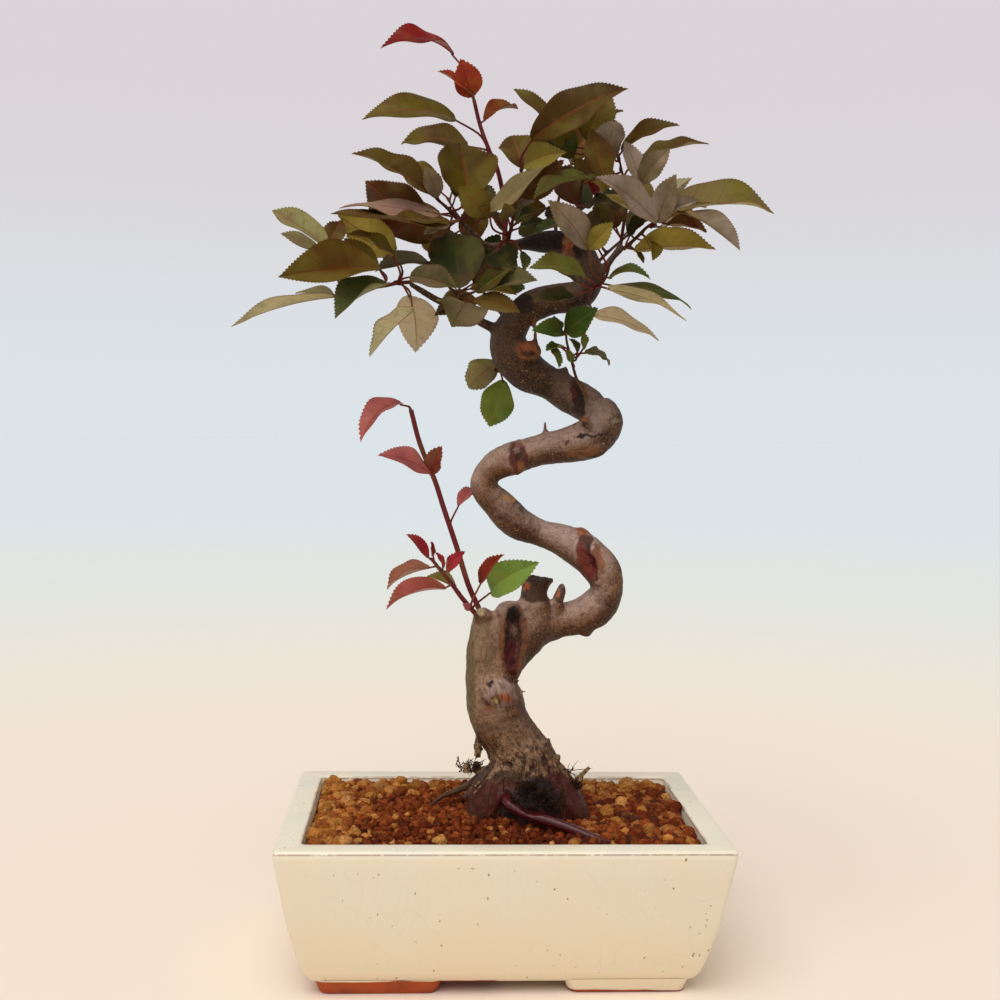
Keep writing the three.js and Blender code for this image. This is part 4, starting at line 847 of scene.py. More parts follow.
def bark_material():
    material, tree, shader = new_material("bark", 0.55, 0.2)
    place = object_place(tree)
    read = {name: node(tree, "ShaderNodeAttribute", attribute_name=name).outputs
            for name in ("grain", "stain", "height", "wet", "rough")}
    grain, rough, wet = read["grain"]["Vector"], read["rough"]["Fac"], read["wet"]["Fac"]

    def noisy(source, scale, detail, shift=0):
        source = stretched(tree, source, (1, 1, 1), shift=shift) if shift else source
        return cloudy(tree, source, scale, detail, 0.6)

    patches = noisy(place, 75, 5)
    mottle = noisy(place, 420, 4)
    fine = noisy(place, 1900, 3)
    pores = noisy(place, 1300, 3, 0.5)
    fibre = noisy(stretched(tree, grain, (1, 1, 0.17)), 1250, 4)
    crumbs = noisy(stretched(tree, grain, (1, 1, 0.4), shift=0.7), 1500, 4)

    # The bark is silver where it faces up, left, front or back, partly its own weathered colour and partly
    # painted light, and it is darkened with painted shade where it faces down.
    facing_x, facing_y, facing_z = facing_way(tree)
    facing = times(tree, maths(tree, "ABSOLUTE", facing_y), 0.42)
    facing = maths(tree, "ADD", facing, times(tree, facing_x, -0.42))
    facing = maths(tree, "ADD", facing, times(tree, facing_z, 0.8))
    height = axes(tree, place)["Z"]
    high = span(tree, height, 200 * MM, 250 * MM)
    bole = span(tree, height, 155 * MM, 135 * MM)

    # Brown all over, nearly black up in the crown, partly the young wood's own dark bark and partly painted
    # shade under the leaves, rougher and redder at the foot.
    colour = mix(tree, span(tree, patches, 0.36, 0.64), "#52301f", "#7c5438")
    crown_bark_and_shade = mix(tree, span(tree, patches, 0.4, 0.6), "#251407", "#432a12")
    colour = mix(tree, times(tree, high, 0.85), colour, crown_bark_and_shade)
    colour = mix(tree, rough, colour, mix(tree, span(tree, patches, 0.35, 0.65), "#482813", "#7c5430"))
    silver_and_painted_light = times(tree, span(tree, facing, 0.08, 0.92), raised(tree, high, 1, -0.8),
                   raised(tree, rough, raised(tree, bole, 0.84, -0.06), -0.3),
                   raised(tree, span(tree, mottle, 0.35, 0.6), 0.66, 0.34))
    colour = mix(tree, silver_and_painted_light, colour, mix(tree, bole, "#c8a898", "#ba967a"))
    painted_shade_below = times(tree, span(tree, facing, 0.3, -0.55), raised(tree, rough, 0.72, -0.3))
    colour = mix(tree, painted_shade_below, colour, "#2a140a")

    # Pits, pale flecks, golden crumbs and furrows, and painted shade in the sunk places of the relief.
    shaded = span(tree, facing, 0.8, 0.1)
    pitted = times(tree, span(tree, pores, 0.48, 0.38), raised(tree, shaded, 0.34, 0.4))
    colour = mix(tree, pitted, colour, "#2b170b")
    flecks = times(tree, span(tree, pores, 0.55, 0.65), raised(tree, shaded, 0.12, 0.24))
    colour = mix(tree, flecks, colour, "#a0805a")
    gold = times(tree, span(tree, crumbs, 0.52, 0.6), rough, 0.6)
    colour = mix(tree, gold, colour, "#bb9468")
    furrow = raised(tree, rough, raised(tree, bole, 0.12, 0.24), 0.5)
    colour = mix(tree, times(tree, span(tree, fibre, 0.5, 0.36), furrow), colour, "#2a160a")
    sunk_shade = times(tree, span(tree, read["height"]["Fac"], 0.42, 0.05), 0.75)
    colour = mix(tree, sunk_shade, colour, "#241208")

    # Lenticels: round ones in patches, and slits along the smooth limbs.
    lenticel = times(tree, span(tree, cells(tree, place, 560), 0.26, 0.12),
                     span(tree, noisy(place, 240, 1, 0.3), 0.52, 0.6),
                     raised(tree, span(tree, facing, 0.6, -0.2), 0.2, 0.5))
    colour = mix(tree, lenticel, colour, "#c0935a")
    slit = times(tree, span(tree, cells(tree, stretched(tree, grain, (0.5, 0.5, 1.7)), 300), 0.2, 0.08),
                 raised(tree, rough, 0.45, -0.45))
    colour = mix(tree, slit, colour, "#4a2a1c")

    # Wounds, stubs and stains, with ragged edges and a grain of their own.
    tone, most = read["stain"]["Color"], read["stain"]["Alpha"]
    share = maths(tree, "ADD", most, raised(tree, noisy(place, 650, 3, 0.9), -0.45, 0.9))
    stained = mix(tree, span(tree, fibre, 0.56, 0.36), tone, mix(tree, 0.55, tone, "#140a06"))
    glints = times(tree, span(tree, fine, 0.55, 0.7), raised(tree, wet, 0.2, -0.2))
    stained = mix(tree, glints, stained, "#b58a68")
    colour = mix(tree, times(tree, span(tree, share, 0.25, 0.7), most), colour, stained)
    streaks = times(tree, fibre, raised(tree, rough, 0.25, 0.9))
    ridges = maths(tree, "ADD", raised(tree, fine, streaks, 0.5), times(tree, mottle, 0.6))
    feed(tree, shader, {
        "Base Color": colour, "Roughness": raised(tree, fine, raised(tree, wet, 0.44, -0.18), 0.1),
        "Coat Weight": times(tree, wet, 0.5), "Coat Roughness": 0.16,
        "Normal": dented(tree, ridges, 0.9, 0.9 * MM),
    })
    return material


def stain_towards(stain, code, share):
    """Turns stains to a tone, by the share given for each place."""
    stain[:, :3] += (np.array(rgb(code)[:3]) - stain[:, :3]) * share[:, None]


def stains(points, normals, z, in_hollow, wet, dry):
    """The tone and the strength of the stain on every place of the bark."""
    stain = np.zeros((len(points), 4))
    u, v = shown_at(points)
    for amount, scale, shift_u, shift_v in MARK_WANDER:
        u += amount * noise_at(points / MM, scale, shift_u)
        v += amount * noise_at(points / MM, scale, shift_v)
    front = smooth_step(-normals @ np.array(forward), *TURNED_FADE)
    stain[:, :3] = rgb(HOLLOW_TONE)[:3]
    stain[:, 3] = 0.95 * in_hollow
    for mark_u, mark_v, half_u, half_v, lean, tone, share in MARKS:
        turn = math.radians(lean)
        x = ((u - mark_u) * math.cos(turn) + (v - mark_v) * math.sin(turn)) / half_u
        y = ((v - mark_v) * math.cos(turn) - (u - mark_u) * math.sin(turn)) / half_v
        here = share * front * smooth_step(np.sqrt(x * x + y * y), *MARK_FADE)
        stronger = np.clip(here / np.maximum(stain[:, 3], 0.02), 0, 1)
        stain_towards(stain, MARK_TONES[tone], np.maximum(here, stronger**3))
        stain[:, 3] = np.maximum(stain[:, 3], here)
    stain[wet > 0] = (*rgb(WET_TONE)[:3], 1)
    soiled = smooth_step(z, *SOILED_HEIGHTS) * (1 - stain[:, 3]) * SOILED_SHARE
    stain_towards(stain, SOILED_TONE, soiled / np.maximum(soiled + stain[:, 3], 0.01))
    stain[:, 3] += soiled
    stain_towards(stain, DRY_TONE, dry)
    return stain


def make_tree(bark):
    lines = [centre_line(rows) for rows in (BOLE, LOWER_COIL, UPPER_COIL, *BRANCHES, *STUMPS, *ROOTS)]
    bm = bmesh.new()
    for line in lines:
        tube(bm, line, STOUT_SIDES if line[0][3] > STOUT_RADIUS else THIN_SIDES)
    for u, v, y, halves, lean in BURRS:
        place = Matrix.Translation(seen(u, v, y)) @ Matrix.Rotation(lean, 4, "Y")
        bmesh.ops.create_icosphere(bm, subdivisions=3, radius=MM,
                                   matrix=place @ Matrix.Diagonal((*halves, 1)))
    tree = finish_piece("apple_trunk", bm, bark)
    mesh = grow_voxels(tree, *FIRST_GROWTH)
    points = read_all(mesh.vertices, "co")
    for row in HOLLOWS:
        hollow_out(points, row)
    set_places(mesh, points)
    mesh = grow_voxels(tree, *LAST_GROWTH)
    points = read_all(mesh.vertices, "co")
    normals = read_all(mesh.vertex_normals, "vector")

    # The skin is lifted by the relief of the bark, less where a limb is thin, and where it is wet.
    limb, turn, way, radius = limb_coordinates(points, lines)
    grain = np.stack([np.cos(turn) * radius, np.sin(turn) * radius, way + GRAIN_STEP * limb], axis=1)
    z = points[:, 2] / MM
    rough = smooth_step(z, *ROUGH_HEIGHTS) * (1 - ROOT_SMOOTHING * smooth_step(z, *ROOT_HEIGHTS))
    in_hollow = np.zeros(len(points))
    for row in HOLLOWS:
        depth = np.sqrt((into_lump(points, row) ** 2).sum(1))
        in_hollow = np.maximum(in_hollow, smooth_step(depth, *HOLLOW_FADE))
    detail = relief(grain, GRAIN_RELIEF, rough) + relief(points, WART_RELIEF, rough)
    detail += in_hollow * relief(points, HOLLOW_RELIEF, rough)
    first_root = len(lines) - len(ROOTS)
    wet = (limb == first_root + WET_ROOT) * 1.0
    rise = detail + relief(points, LUMP_RELIEF, rough) - ROUGH_SUNK * rough
    rise *= np.clip(radius / FULL_RELIEF_RADIUS, LEAST_RELIEF, 1) * (1 - WET_SMOOTHING * wet)
    set_places(mesh, points + normals * (rise * MM)[:, None])

    dry = (limb == first_root + DRY_ROOT) * smooth_step(points[:, 0], seen(*DRY_FROM)[0], seen(*DRY_TO)[0])
    store(mesh, "grain", "FLOAT_VECTOR", grain)
    store(mesh, "height", "FLOAT", 0.5 + detail)
    store(mesh, "rough", "FLOAT", rough)
    store(mesh, "stain", "FLOAT_COLOR", stains(points, normals, z, in_hollow, wet, dry))
    damp = DAMP_SHARE * smooth_step(z, *DAMP_HEIGHTS) * (1 - in_hollow) * (1 - dry)
    store(mesh, "wet", "FLOAT", np.maximum(wet, damp))
    mesh.shade_smooth()
    return tree


mounted(make_tree(bark_material()), "bark", "trunk")

# Dry moss, hair roots and shreds of bark cling to the foot of the bole, where they were caught as
# it was planted. They are loose fibres, laid in tufts, with a strip of bark and a broken twig.
# Tufts: [u, v, depth in mm, spread in frame units, number of fibres, their length in mm].
TUFTS = [
    [468, 767, 0, 8, 60, 3], [478, 765, -1, 5, 40, 2.6], [524, 790, -17, 12, 70, 4],
    [546, 798, -18, 12, 80, 4], [556, 806, -20, 10, 60, 4], [576, 786, -8, 7, 46, 4.4],
    [568, 772, -7, 5, 14, 4.5], [512, 802, -22, 6, 24, 3], [531, 808, -24, 12, 40, 3.4],
]
# Straws and the broken twig: [u, v, end u, end v, depth, end depth, radius, end radius in mm].
STRAWS = [
    [490, 771, 470, 791, -8, -17, 0.45, 0.3], [494, 772, 474, 794, -10, -18, 0.35, 0.25],
    [487, 776, 465, 792, -6, -14, 0.3, 0.2], [457, 757, 462, 770, -1, 0, 0.3, 0.3],
    [571, 788, 588, 768, -6, -4, 1.6, 0.7], [574, 790, 583, 775, -7, -5, 1.4, 0.6],
    [515, 683, 519, 680, -9, -10, 0.7, 0.2], [521, 692, 525, 691, -9, -10, 0.6, 0.2],
    [478, 734, 478, 747, -1, -1, 1.1, 1.7], [478, 745, 479, 758, -1, -1, 1.7, 1],
    [480, 739, 481, 750, -1, 0, 0.7, 1], [475.6, 744, 476, 756, -2, -2, 0.7, 0.8],
    [477, 752, 476, 759, -2, -2, 0.5, 0.3], [466, 764, 468, 772, 0, 0, 1.6, 2.2],
    [476, 763, 477, 771, -1, 0, 1.4, 2.2], [458, 758, 456, 764, -1, -1, 0.25, 0.25],
    [456, 764, 462, 770, -1, 0, 0.25, 0.3],
]
FIBRE_RADIUS = 0.24
FIBRE_TAPER = 0.7
FIBRE_STEPS = (0, 0.35, 0.7, 1)
STRAW_WANDER = 0.2
STRAW_STEPS = (0, 0.25, 0.5, 0.75, 1)


def lay_strands(name, strands, material):
    """Rounds every strand, given as places with a radius in mm, and joins them in one piece."""
    curve = bpy.data.curves.new(name, "CURVE")
    curve.dimensions = "3D"
    curve.bevel_depth = MM
    curve.bevel_resolution = 1
    curve.use_fill_caps = True
    for strand in strands:
        spline = curve.splines.new("POLY")
        spline.points.add(len(strand) - 1)
        for point, (place, radius) in zip(spline.points, strand):
            point.co = (*place, 1)
            point.radius = radius
    laid = bpy.data.objects.new(name, curve)
    bpy.context.scene.collection.objects.link(laid)
    mesh = bpy.data.meshes.new_from_object(laid.evaluated_get(bpy.context.evaluated_depsgraph_get()))
    bpy.data.objects.remove(laid)
    bm = bmesh.new()
    bm.from_mesh(mesh)
    mounted(finish_piece(name, bm, material), "bark")


def fibre_material(name, dark, light, flush):
    material, tree, shader = new_material(name, 0.9, 0.1)
    place = object_place(tree)
    colour = mix(tree, span(tree, cloudy(tree, place, 420, 3), 0.4, 0.62), dark, light)
    broad = span(tree, cloudy(tree, place, 110, 1), 0.54, 0.66)
    feed(tree, shader, {"Base Color": mix(tree, times(tree, broad, 0.4), colour, flush)})
    return material


draw = random.Random(5)
fibres = []
for u, v, y, spread, count, length in TUFTS:
    for _ in range(count):
        start = Vector(seen(draw.gauss(u, spread / 2), draw.gauss(v, spread / 2.6), draw.gauss(y, 1.6)))
        run = Vector((draw.gauss(0, 1), draw.gauss(-0.3, 0.6), draw.gauss(0.5, 0.7))).normalized()
        sag = Vector((draw.gauss(0, 1), draw.gauss(0, 0.6), draw.gauss(-0.2, 0.6))) * 0.5
        reach = draw.uniform(0.4, 1) * length * MM
        fibres.append([(start + (run * t + sag * t * t) * reach, FIBRE_RADIUS * (1 - FIBRE_TAPER * t))
                       for t in FIBRE_STEPS])
straws = []
for u, v, end_u, end_v, y, end_y, radius, end_radius in STRAWS:
    first, last = seen(u, v, y), seen(end_u, end_v, end_y)
    straw = []
    for t in STRAW_STEPS:
        aside = Vector((draw.gauss(0, STRAW_WANDER), 0, draw.gauss(0, STRAW_WANDER))) * MM
        straw.append((first.lerp(last, t) + aside, radius + (end_radius - radius) * t))
    straws.append(straw)
lay_strands("dry_moss", fibres, fibre_material("dry_moss", "#160c07", "#3e2414", "#33250f"))
lay_strands("bark_shreds", straws, fibre_material("bark_shreds", "#4a3422", "#a08060", "#6e5a3a"))

# Leafy shoots grow from cut stubs and twigs all over the crown. Each is a woody or red young stem
# with toothed leaves on thin stalks, older ones olive or bronze, the youngest red or pink.
# A blade is a grid bent to its midrib, folded, waved and given its thickness.

# Stems have rows of [u, v, depth in mm] and "thick" gives the radius at their foot and tip in mm.
# Leaf rows: [stalk root u, v, blade base u, v, depth, tip u, v, depth, breadth as it is seen, arch
# of the midrib, tone]. The breadth is below zero where the underside shows.
SHOOTS = [
    {
        "node": "shoot_top_red", "thick": [1.25, 0.9],
        "stem": [[504.5, 239, 4], [505, 222, 5], [503, 195, 6], [497, 168, 6], [489, 150, 5],
                 [480, 125, 3], [474, 100, 0]],
        "leaves": [
            [474, 100, 454, 54, -2, 381, 46, -14, 13, 13, "red"],
            [474, 101, 472, 97, 2, 461, 59, -8, 29, 4, "ember"],
            [474, 101, 472, 94, 0, 439, 70, -8, 8, 2, "ember"],
            [480, 124, 484, 120, 5, 518, 109, 16, 10, 6, "orangebrown"],
            [488, 148, 456, 119, 0, 362, 120, -20, 24, 12, "olive"],
            [490, 152, 468, 146, 12, 400, 142, 26, 22, 6, "olive"],
        ],
    },
    {
        "node": "spray_upper_left", "thick": [1, 0.7],
        "stem": [[461, 222, -5], [453, 214, -8], [445, 206, -10], [438, 200, -11]],
        "leaves": [
            [439, 201, 435, 197, -13, 353, 151, -22, 22, 4, "olive"],
            [440, 201, 438, 198, -15, 425, 166, -20, 20, 2, "grey"],
            [450, 211, 469, 199, -8, 459, 143, 4, 60, 3, "olivebrown"],
            [447, 208, 456, 197, 6, 452, 160, 26, 28, 4, "dark"],
            [453, 214, 430, 242, 4, 365, 180, 8, 50, 3, "brown"],
            [457, 218, 451, 222, -14, 331, 213, -36, 15, 2, "olive"],
            [457, 218, 440, 214, -12, 340, 203, -26, 15, 3, "blush"],
            [457, 219, 450, 223, -18, 392, 217, -30, 9, 1, "olive"],
            [457, 218, 450, 227, -2, 424, 234, -12, 10, 2, "tan"],
        ],
    },
    {
        "node": "spray_left", "thick": [1.1, 0.6],
        "stem": [[406.6, 282.4, -18.6], [398, 283, -21], [385, 286, -22], [360, 290, -24], [338, 296, -26]],
        "leaves": [
            [398, 283, 396, 252, -10, 338, 214, -2, -40, 5, "olive"],
            [398, 283, 395, 257, -24, 347, 234, -34, 12, 3, "olive"],
            [385, 286, 380, 267, -30, 278, 277, -50, 44, 3, "bronze"],
            [386, 286, 378, 266, -24, 344, 238, -30, 22, 2, "olive"],
            [350, 292, 328, 248, -24, 272, 210, -16, 25, 3, "pale"],
            [354, 291, 325, 251, -12, 342, 220, -2, 24, 2, "olive"],
            [345, 294, 320, 249, -30, 281, 233, -40, 14, 2, "pale"],
            [338, 296, 334, 296, -27, 231, 326, -36, -9, 4, "pale"],
            [341, 295, 333, 295, -18, 295, 293, 0, 7, 1, "pale"],
            [398, 283, 388, 284, -28, 335, 318, -52, 24, 5, "fern"],
            [400, 283, 410, 276, -28, 457, 289, -46, 28, 3, "grey"],
            [400, 283, 414, 308, -24, 370, 357, -36, -14, 4, "pale"],
            [398, 283, 410, 296, -14, 416, 351, 2, -44, 4, "tan"],
        ],
    },
    {
        "node": "spray_left_inner", "thick": [1, 0.7],
        "stem": [[460, 302, -8.3], [453, 292, -12], [442, 277, -13], [431, 266, -13]],
        "leaves": [
            [432, 267, 428, 263, -12, 375, 271, -18, 18, 4, "fern"],
            [432, 267, 425, 261, 0, 378, 262, 12, 10, 3, "pale"],
            [457, 298, 460, 288, -16, 449, 229, 0, 56, 3, "dark"],
            [457, 298, 480, 290, -10, 538, 281, -26, 22, 4, "fern"],
            [457, 298, 476, 292, -12, 512, 268, -22, 18, 3, "green"],
            [459, 300, 474, 300, -14, 520, 312, -24, 22, 3, "olive"],
            [459, 301, 456, 310, -12, 436, 314, -30, 20, 3, "grey"],
            [457, 298, 470, 288, 4, 517, 294, 14, -14, 3, "olive"],
            [450, 289, 474, 284, 12, 492, 257, 26, 24, 3, "olive"],
            [459, 300, 466, 303, -16, 452, 326, -44, 52, 4, "grey"],
        ],
    },
    {
        "node": "spray_centre", "thick": [1.1, 0.6],
        "stem": [[507.5, 242.4, -1.6], [511, 228, -4], [515, 208, -6], [519, 186, -7], [521, 170, -8]],
        "leaves": [
            [509, 236, 489, 213, -16, 459, 187, -24, 30, 4, "olive"],
            [509, 236, 489, 212, -18, 481, 208, -22, 8, 1, "olive"],
            [509, 236, 487, 212, -16, 543, 166, -28, 20, -4, "pale"],
            [521, 172, 522, 168, -8, 511, 134, 4, 36, 2, "olive"],
            [521, 170, 524, 166, -14, 565, 152, -30, 27, 4, "gold"],
            [516, 202, 521, 197, -14, 563, 160, -26, 32, 3, "olive"],
            [516, 200, 530, 190, -8, 572, 168, -16, 20, 3, "dark"],
            [521, 172, 534, 158, 0, 560, 140, 14, 10, 2, "dark"],
            [521, 170, 531, 139, -10, 627, 86, -22, 38, 8, "olivebrown"],
            [511, 228, 508, 218, -12, 505, 203, -26, 20, 2, "olive"],
            [513, 216, 521, 206, 0, 536, 194, 8, 12, 1, "grey"],
            [511, 228, 517, 223, -10, 541, 212, -22, 8, 3, "dark"],
            [510, 232, 519, 228, -8, 541, 223, -18, 6, 2, "dark"],
            [508, 240, 496, 252, -10, 514, 272, -20, 34, 2, "night"],
            [508, 240, 522, 251, -14, 524, 271, -22, 12, 2, "dark"],
            [508, 240, 492, 254, -8, 478, 272, -14, 8, 2, "dark"],
            [511, 230, 506, 232, 4, 496, 212, 12, 14, 2, "dark"],
            [512, 224, 518, 220, 6, 524, 200, 14, 16, 2, "green"],
        ],
    },
    {
        "node": "spray_apex", "thick": [1.1, 0.6],
        "stem": [[575, 231.5, 4], [577, 212, 6], [582, 185, 7], [586, 160, 6], [589, 143, 4]],
        "leaves": [
            [588, 148, 586, 140, 2, 610, 92, -2, 40, 4, "olive"],
            [589, 144, 592, 134, 10, 623, 109, 20, 14, 3, "olive"],
            [586, 162, 573, 158, 0, 548, 122, -2, 30, 3, "dark"],
            [586, 165, 573, 165, 14, 543, 130, 22, -8, 3, "pale"],
            [588, 149, 560, 138, 8, 514, 88, 12, 18, 4, "olive"],
            [588, 150, 572, 154, 2, 549, 118, -6, 26, 3, "olive"],
            [583, 178, 590, 176, -2, 573, 158, -16, 20, 3, "olive"],
            [583, 180, 577, 177, 2, 560, 167, -6, 10, 2, "pale"],
            [582, 186, 594, 177, -18, 533, 195, -34, 15, 5, "green"],
            [577, 214, 573, 221, -2, 534, 234, -16, 8, 3, "green"],
            [578, 206, 597, 198, -4, 588, 182, -14, 9, 1, "red"],
            [578, 206, 584, 206, -2, 611, 203, -18, 12, 2, "dark"],
            [578, 206, 574, 204, 10, 560, 176, 20, 26, 3, "brown"],
            [577, 212, 580, 210, 12, 586, 182, 24, 24, 3, "dark"],
            [576, 220, 568, 222, 8, 546, 207, 16, 18, 3, "night"],
            [576, 222, 584, 224, 10, 603, 214, 20, 18, 3, "dark"],
        ],
    },
    {
        "node": "spray_right_top", "thick": [1, 0.6],
        "stem": [[621.4, 239.9, -4], [624, 222, -4], [627, 205, -5], [626, 188, -4], [622, 172, -3],
                 [619, 158, -1]],
        "leaves": [
            [622, 172, 605, 168, -10, 615, 119, -6, 34, 3, "mauve"],
            [626, 192, 606, 182, -20, 592, 129, -18, 30, 3, "olive"],
            [620, 161, 612, 156, 4, 619, 128, 14, 16, 2, "olive"],
            [619, 159, 621, 151, 0, 679, 124, -8, 16, 5, "olive"],
            [624, 180, 642, 157, 4, 709, 141, 14, 9, 2, "olive"],
            [626, 190, 640, 184, -12, 624, 141, -8, 20, 2, "mauve"],
            [626, 190, 641, 184, -13, 670, 149, -20, 24, 4, "mauve"],
            [622, 234, 628, 232, 4, 640, 206, 12, 18, 3, "fern"],
            [625, 214, 618, 212, 6, 606, 190, 14, 20, 3, "dark"],
        ],
    },
    {
        "node": "spray_right", "thick": [1.1, 0.6],
        "stem": [[626.4, 246.6, -6.8], [636, 238, -10], [646, 228, -13], [656, 221, -15], [665, 214, -17]],
        "leaves": [
            [650, 226, 657, 222, -24, 597, 176, -38, 28, 2, "mauve"],
            [650, 226, 657, 223, -22, 676, 174, -32, 27, 3, "mauve"],
            [650, 226, 655, 220, -18, 606, 194, -24, 12, -2, "gold"],
            [665, 214, 667, 205, -12, 690, 178, -2, -20, 3, "pale"],
            [663, 216, 665, 214, -20, 775, 209, -14, 24, 10, "gold"],
            [664, 215, 686, 212, -26, 740, 250, -44, 17, 5, "mauve"],
            [663, 216, 676, 211, -8, 706, 207, 8, 9, 3, "olive"],
            [628, 246, 634, 250, -16, 716, 248, -28, -24, 5, "olive"],
            [656, 221, 667, 224, -10, 707, 232, -2, 12, 3, "brown"],
            [650, 226, 659, 227, 2, 706, 221, 18, -10, 3, "pale"],
            [658, 220, 662, 214, -24, 700, 200, -30, 16, 2, "mauve"],
            [628, 245, 628, 238, -16, 650, 212, -26, 14, 2, "night"],
            [640, 234, 648, 240, -18, 653, 260, -32, 12, 1, "olive"],
            [628, 246, 637, 251, -6, 644, 263, -8, 6, 1, "olive"],
        ],
    },
    {
        "node": "spray_limb", "thick": [1.2, 0.6],
        "stem": [[588.4, 290.2, -13.2], [596, 287, -16], [604, 280, -18], [608, 272, -19]],
        "leaves": [
            [606, 277, 609, 278, -22, 650, 277, -32, 9, 8, "green"],
            [596, 287, 607, 288, -24, 686, 322, -40, -10, 8, "pale"],
            [600, 284, 615, 286, -12, 693, 306, -2, 8, 6, "green"],
            [592, 289, 592, 314, -17, 659, 341, -26, -13, 6, "tan"],
            [594, 288, 586, 277, -26, 529, 268, -36, 20, 5, "green"],
            [602, 282, 588, 249, -24, 548, 200, -36, 30, 3, "mauve"],
            [602, 282, 588, 249, -25, 613, 222, -34, 22, 3, "gold"],
            [608, 273, 597, 245, -18, 574, 224, -26, 24, 2, "olive"],
            [592, 289, 574, 296, -20, 532, 300, -26, 17, 3, "dark"],
            [594, 288, 580, 284, -22, 546, 262, -30, 14, 3, "fern"],
        ],
    },
    {
        "node": "shoot_crotch", "thick": [0.9, 0.6],
        "stem": [[585.6, 394.4, -8.6], [580, 386, -8], [575, 374, -6], [571, 358, -6], [567, 343, -6],
                 [566, 334, -6]],
        "leaves": [
            [566, 335, 566, 332, -8, 597, 308, -22, 30, 3, "leafy"],
            [566, 335, 563, 331, -9, 532, 330, -22, 20, 4, "leafy"],
            [566, 335, 558, 331, 0, 556, 317, 12, 12, 1, "green"],
            [571, 358, 585, 352, -2, 610, 365, 8, 7, 6, "fern"],
            [571, 358, 584, 350, -12, 582, 330, -18, 8, 1, "green"],
            [572, 362, 578, 352, 2, 570, 338, 10, 7, 1, "green"],
            [573, 368, 573, 362, -12, 565, 350, -18, 9, 1, "green"],
            [570, 354, 552, 346, -14, 560, 367, -20, 9, 1, "green"],
            [570, 352, 563, 346, -10, 546, 351, -20, 7, 1, "green"],
        ],
    },
    {
        "node": "leaves_behind_trunk", "thick": [1, 0.7],
        "stem": [[503.2, 371.5, 12.8], [498, 371, 18], [494, 370, 22]],
        "leaves": [
            [495, 370, 497, 362, 22, 468, 388, 28, 31, 6, "pale"],
            [496, 371, 504, 380, 24, 489, 427, 28, 36, 3, "bright"],
        ],
    },
    {
        "node": "shoot_lower_left", "thick": [1.3, 1.1],
        "stem": [[477.4, 605.2, -1], [468, 584, -3], [457, 548, -5], [443, 506, -6], [435, 481, -7],
                 [420, 444, -8], [411, 410, -9]],
        "leaves": [
            [411, 414, 402, 403, -11, 360, 441, -22, 20, 14, "pink"],
            [435, 481, 431, 474, -10, 380, 453, -24, 20, 5, "pink"],
            [435, 481, 432, 474, -9, 442, 446, -14, 20, 2, "flushed"],
            [450, 528, 458, 506, 4, 473, 487, 14, 14, 2, "pink"],
        ],
    },
    {
        "node": "shoot_rosette", "thick": [1.2, 0.8],
        "stem": [[472.2, 609.9, -6.4], [462, 598, -9], [451, 583, -11], [441, 571, -12], [434, 562, -13]],
        "leaves": [
            [434, 563, 429, 558, -15, 407, 534, -22, 11, 2, "scarlet"],
            [434, 563, 433, 556, -9, 432, 541, -4, 5, 0, "red"],
            [441, 571, 447, 572, -17, 465, 551, -24, 14, 4, "scarlet"],
            [440, 570, 444, 568, -14, 436, 552, -16, 7, 1, "scarlet"],
            [438, 567, 430, 567, -9, 386, 588, -2, 12, 5, "rosy"],
            [451, 583, 446, 588, -18, 386, 606, -28, 17, 6, "flushed"],
            [460, 596, 456, 588, -5, 426, 577, 6, 12, 3, "gold"],
            [470, 608, 480, 584, -12, 503, 554, -18, 15, 4, "redbrown"],
            [471, 611, 470, 610, -9, 463, 604, -12, 8, 1, "pink"],
            [471, 609, 491, 592, -16, 539, 562, -28, 34, 15, "bright"],
        ],
    },
    {
        "node": "spray_back_left", "thick": [1.1, 0.6],
        "stem": [[505.8, 318.8, 12.6], [490, 300, 27], [470, 276, 41], [455, 256, 50]],
        "leaves": [
            [456, 257, 450, 250, 50, 420, 225, 60, 30, 4, "olive"],
            [458, 260, 470, 242, 54, 482, 206, 52, 30, 4, "bronze"],
            [468, 273, 455, 281, 48, 415, 272, 62, 28, 4, "olive"],
            [472, 278, 484, 270, 46, 518, 264, 58, 26, 4, "dark"],
            [488, 298, 478, 302, 34, 440, 300, 48, 24, 4, "olive"],
            [474, 280, 486, 262, 38, 500, 234, 34, 22, 3, "dark"],
            [488, 298, 499, 282, 28, 512, 250, 24, 20, 3, "dark"],
            [480, 288, 488, 286, 30, 526, 288, 34, 20, 4, "green"],
        ],
    },
    {
        "node": "spray_back_right", "thick": [1.1, 0.6],
        "stem": [[592.2, 268.8, 5.6], [605, 255, 20], [622, 240, 33], [640, 225, 42]],
        "leaves": [
            [640, 226, 650, 219, 48, 692, 210, 62, 32, 4, "olive"],
            [638, 227, 638, 214, 44, 630, 176, 54, 34, 4, "bronze"],
            [622, 240, 616, 228, 32, 606, 194, 38, 32, 4, "olive"],
            [630, 234, 645, 242, 36, 700, 240, 40, 24, 4, "mauve"],
            [606, 254, 600, 244, 26, 572, 224, 40, 28, 4, "dark"],
            [606, 254, 598, 236, 20, 596, 206, 16, 22, 3, "olive"],
            [622, 240, 612, 226, 30, 594, 204, 30, 24, 3, "dark"],
        ],
    },
    {
        "node": "spray_back_top", "thick": [1.1, 0.6],
        "stem": [[555.9, 236.8, 11.6], [556, 214, 25], [561, 190, 36], [568, 170, 44]],
        "leaves": [
            [568, 171, 573, 160, 46, 596, 124, 52, 34, 4, "olive"],
            [567, 172, 555, 164, 48, 522, 148, 58, 32, 4, "dark"],
            [562, 188, 574, 186, 44, 616, 172, 58, 32, 4, "bronze"],
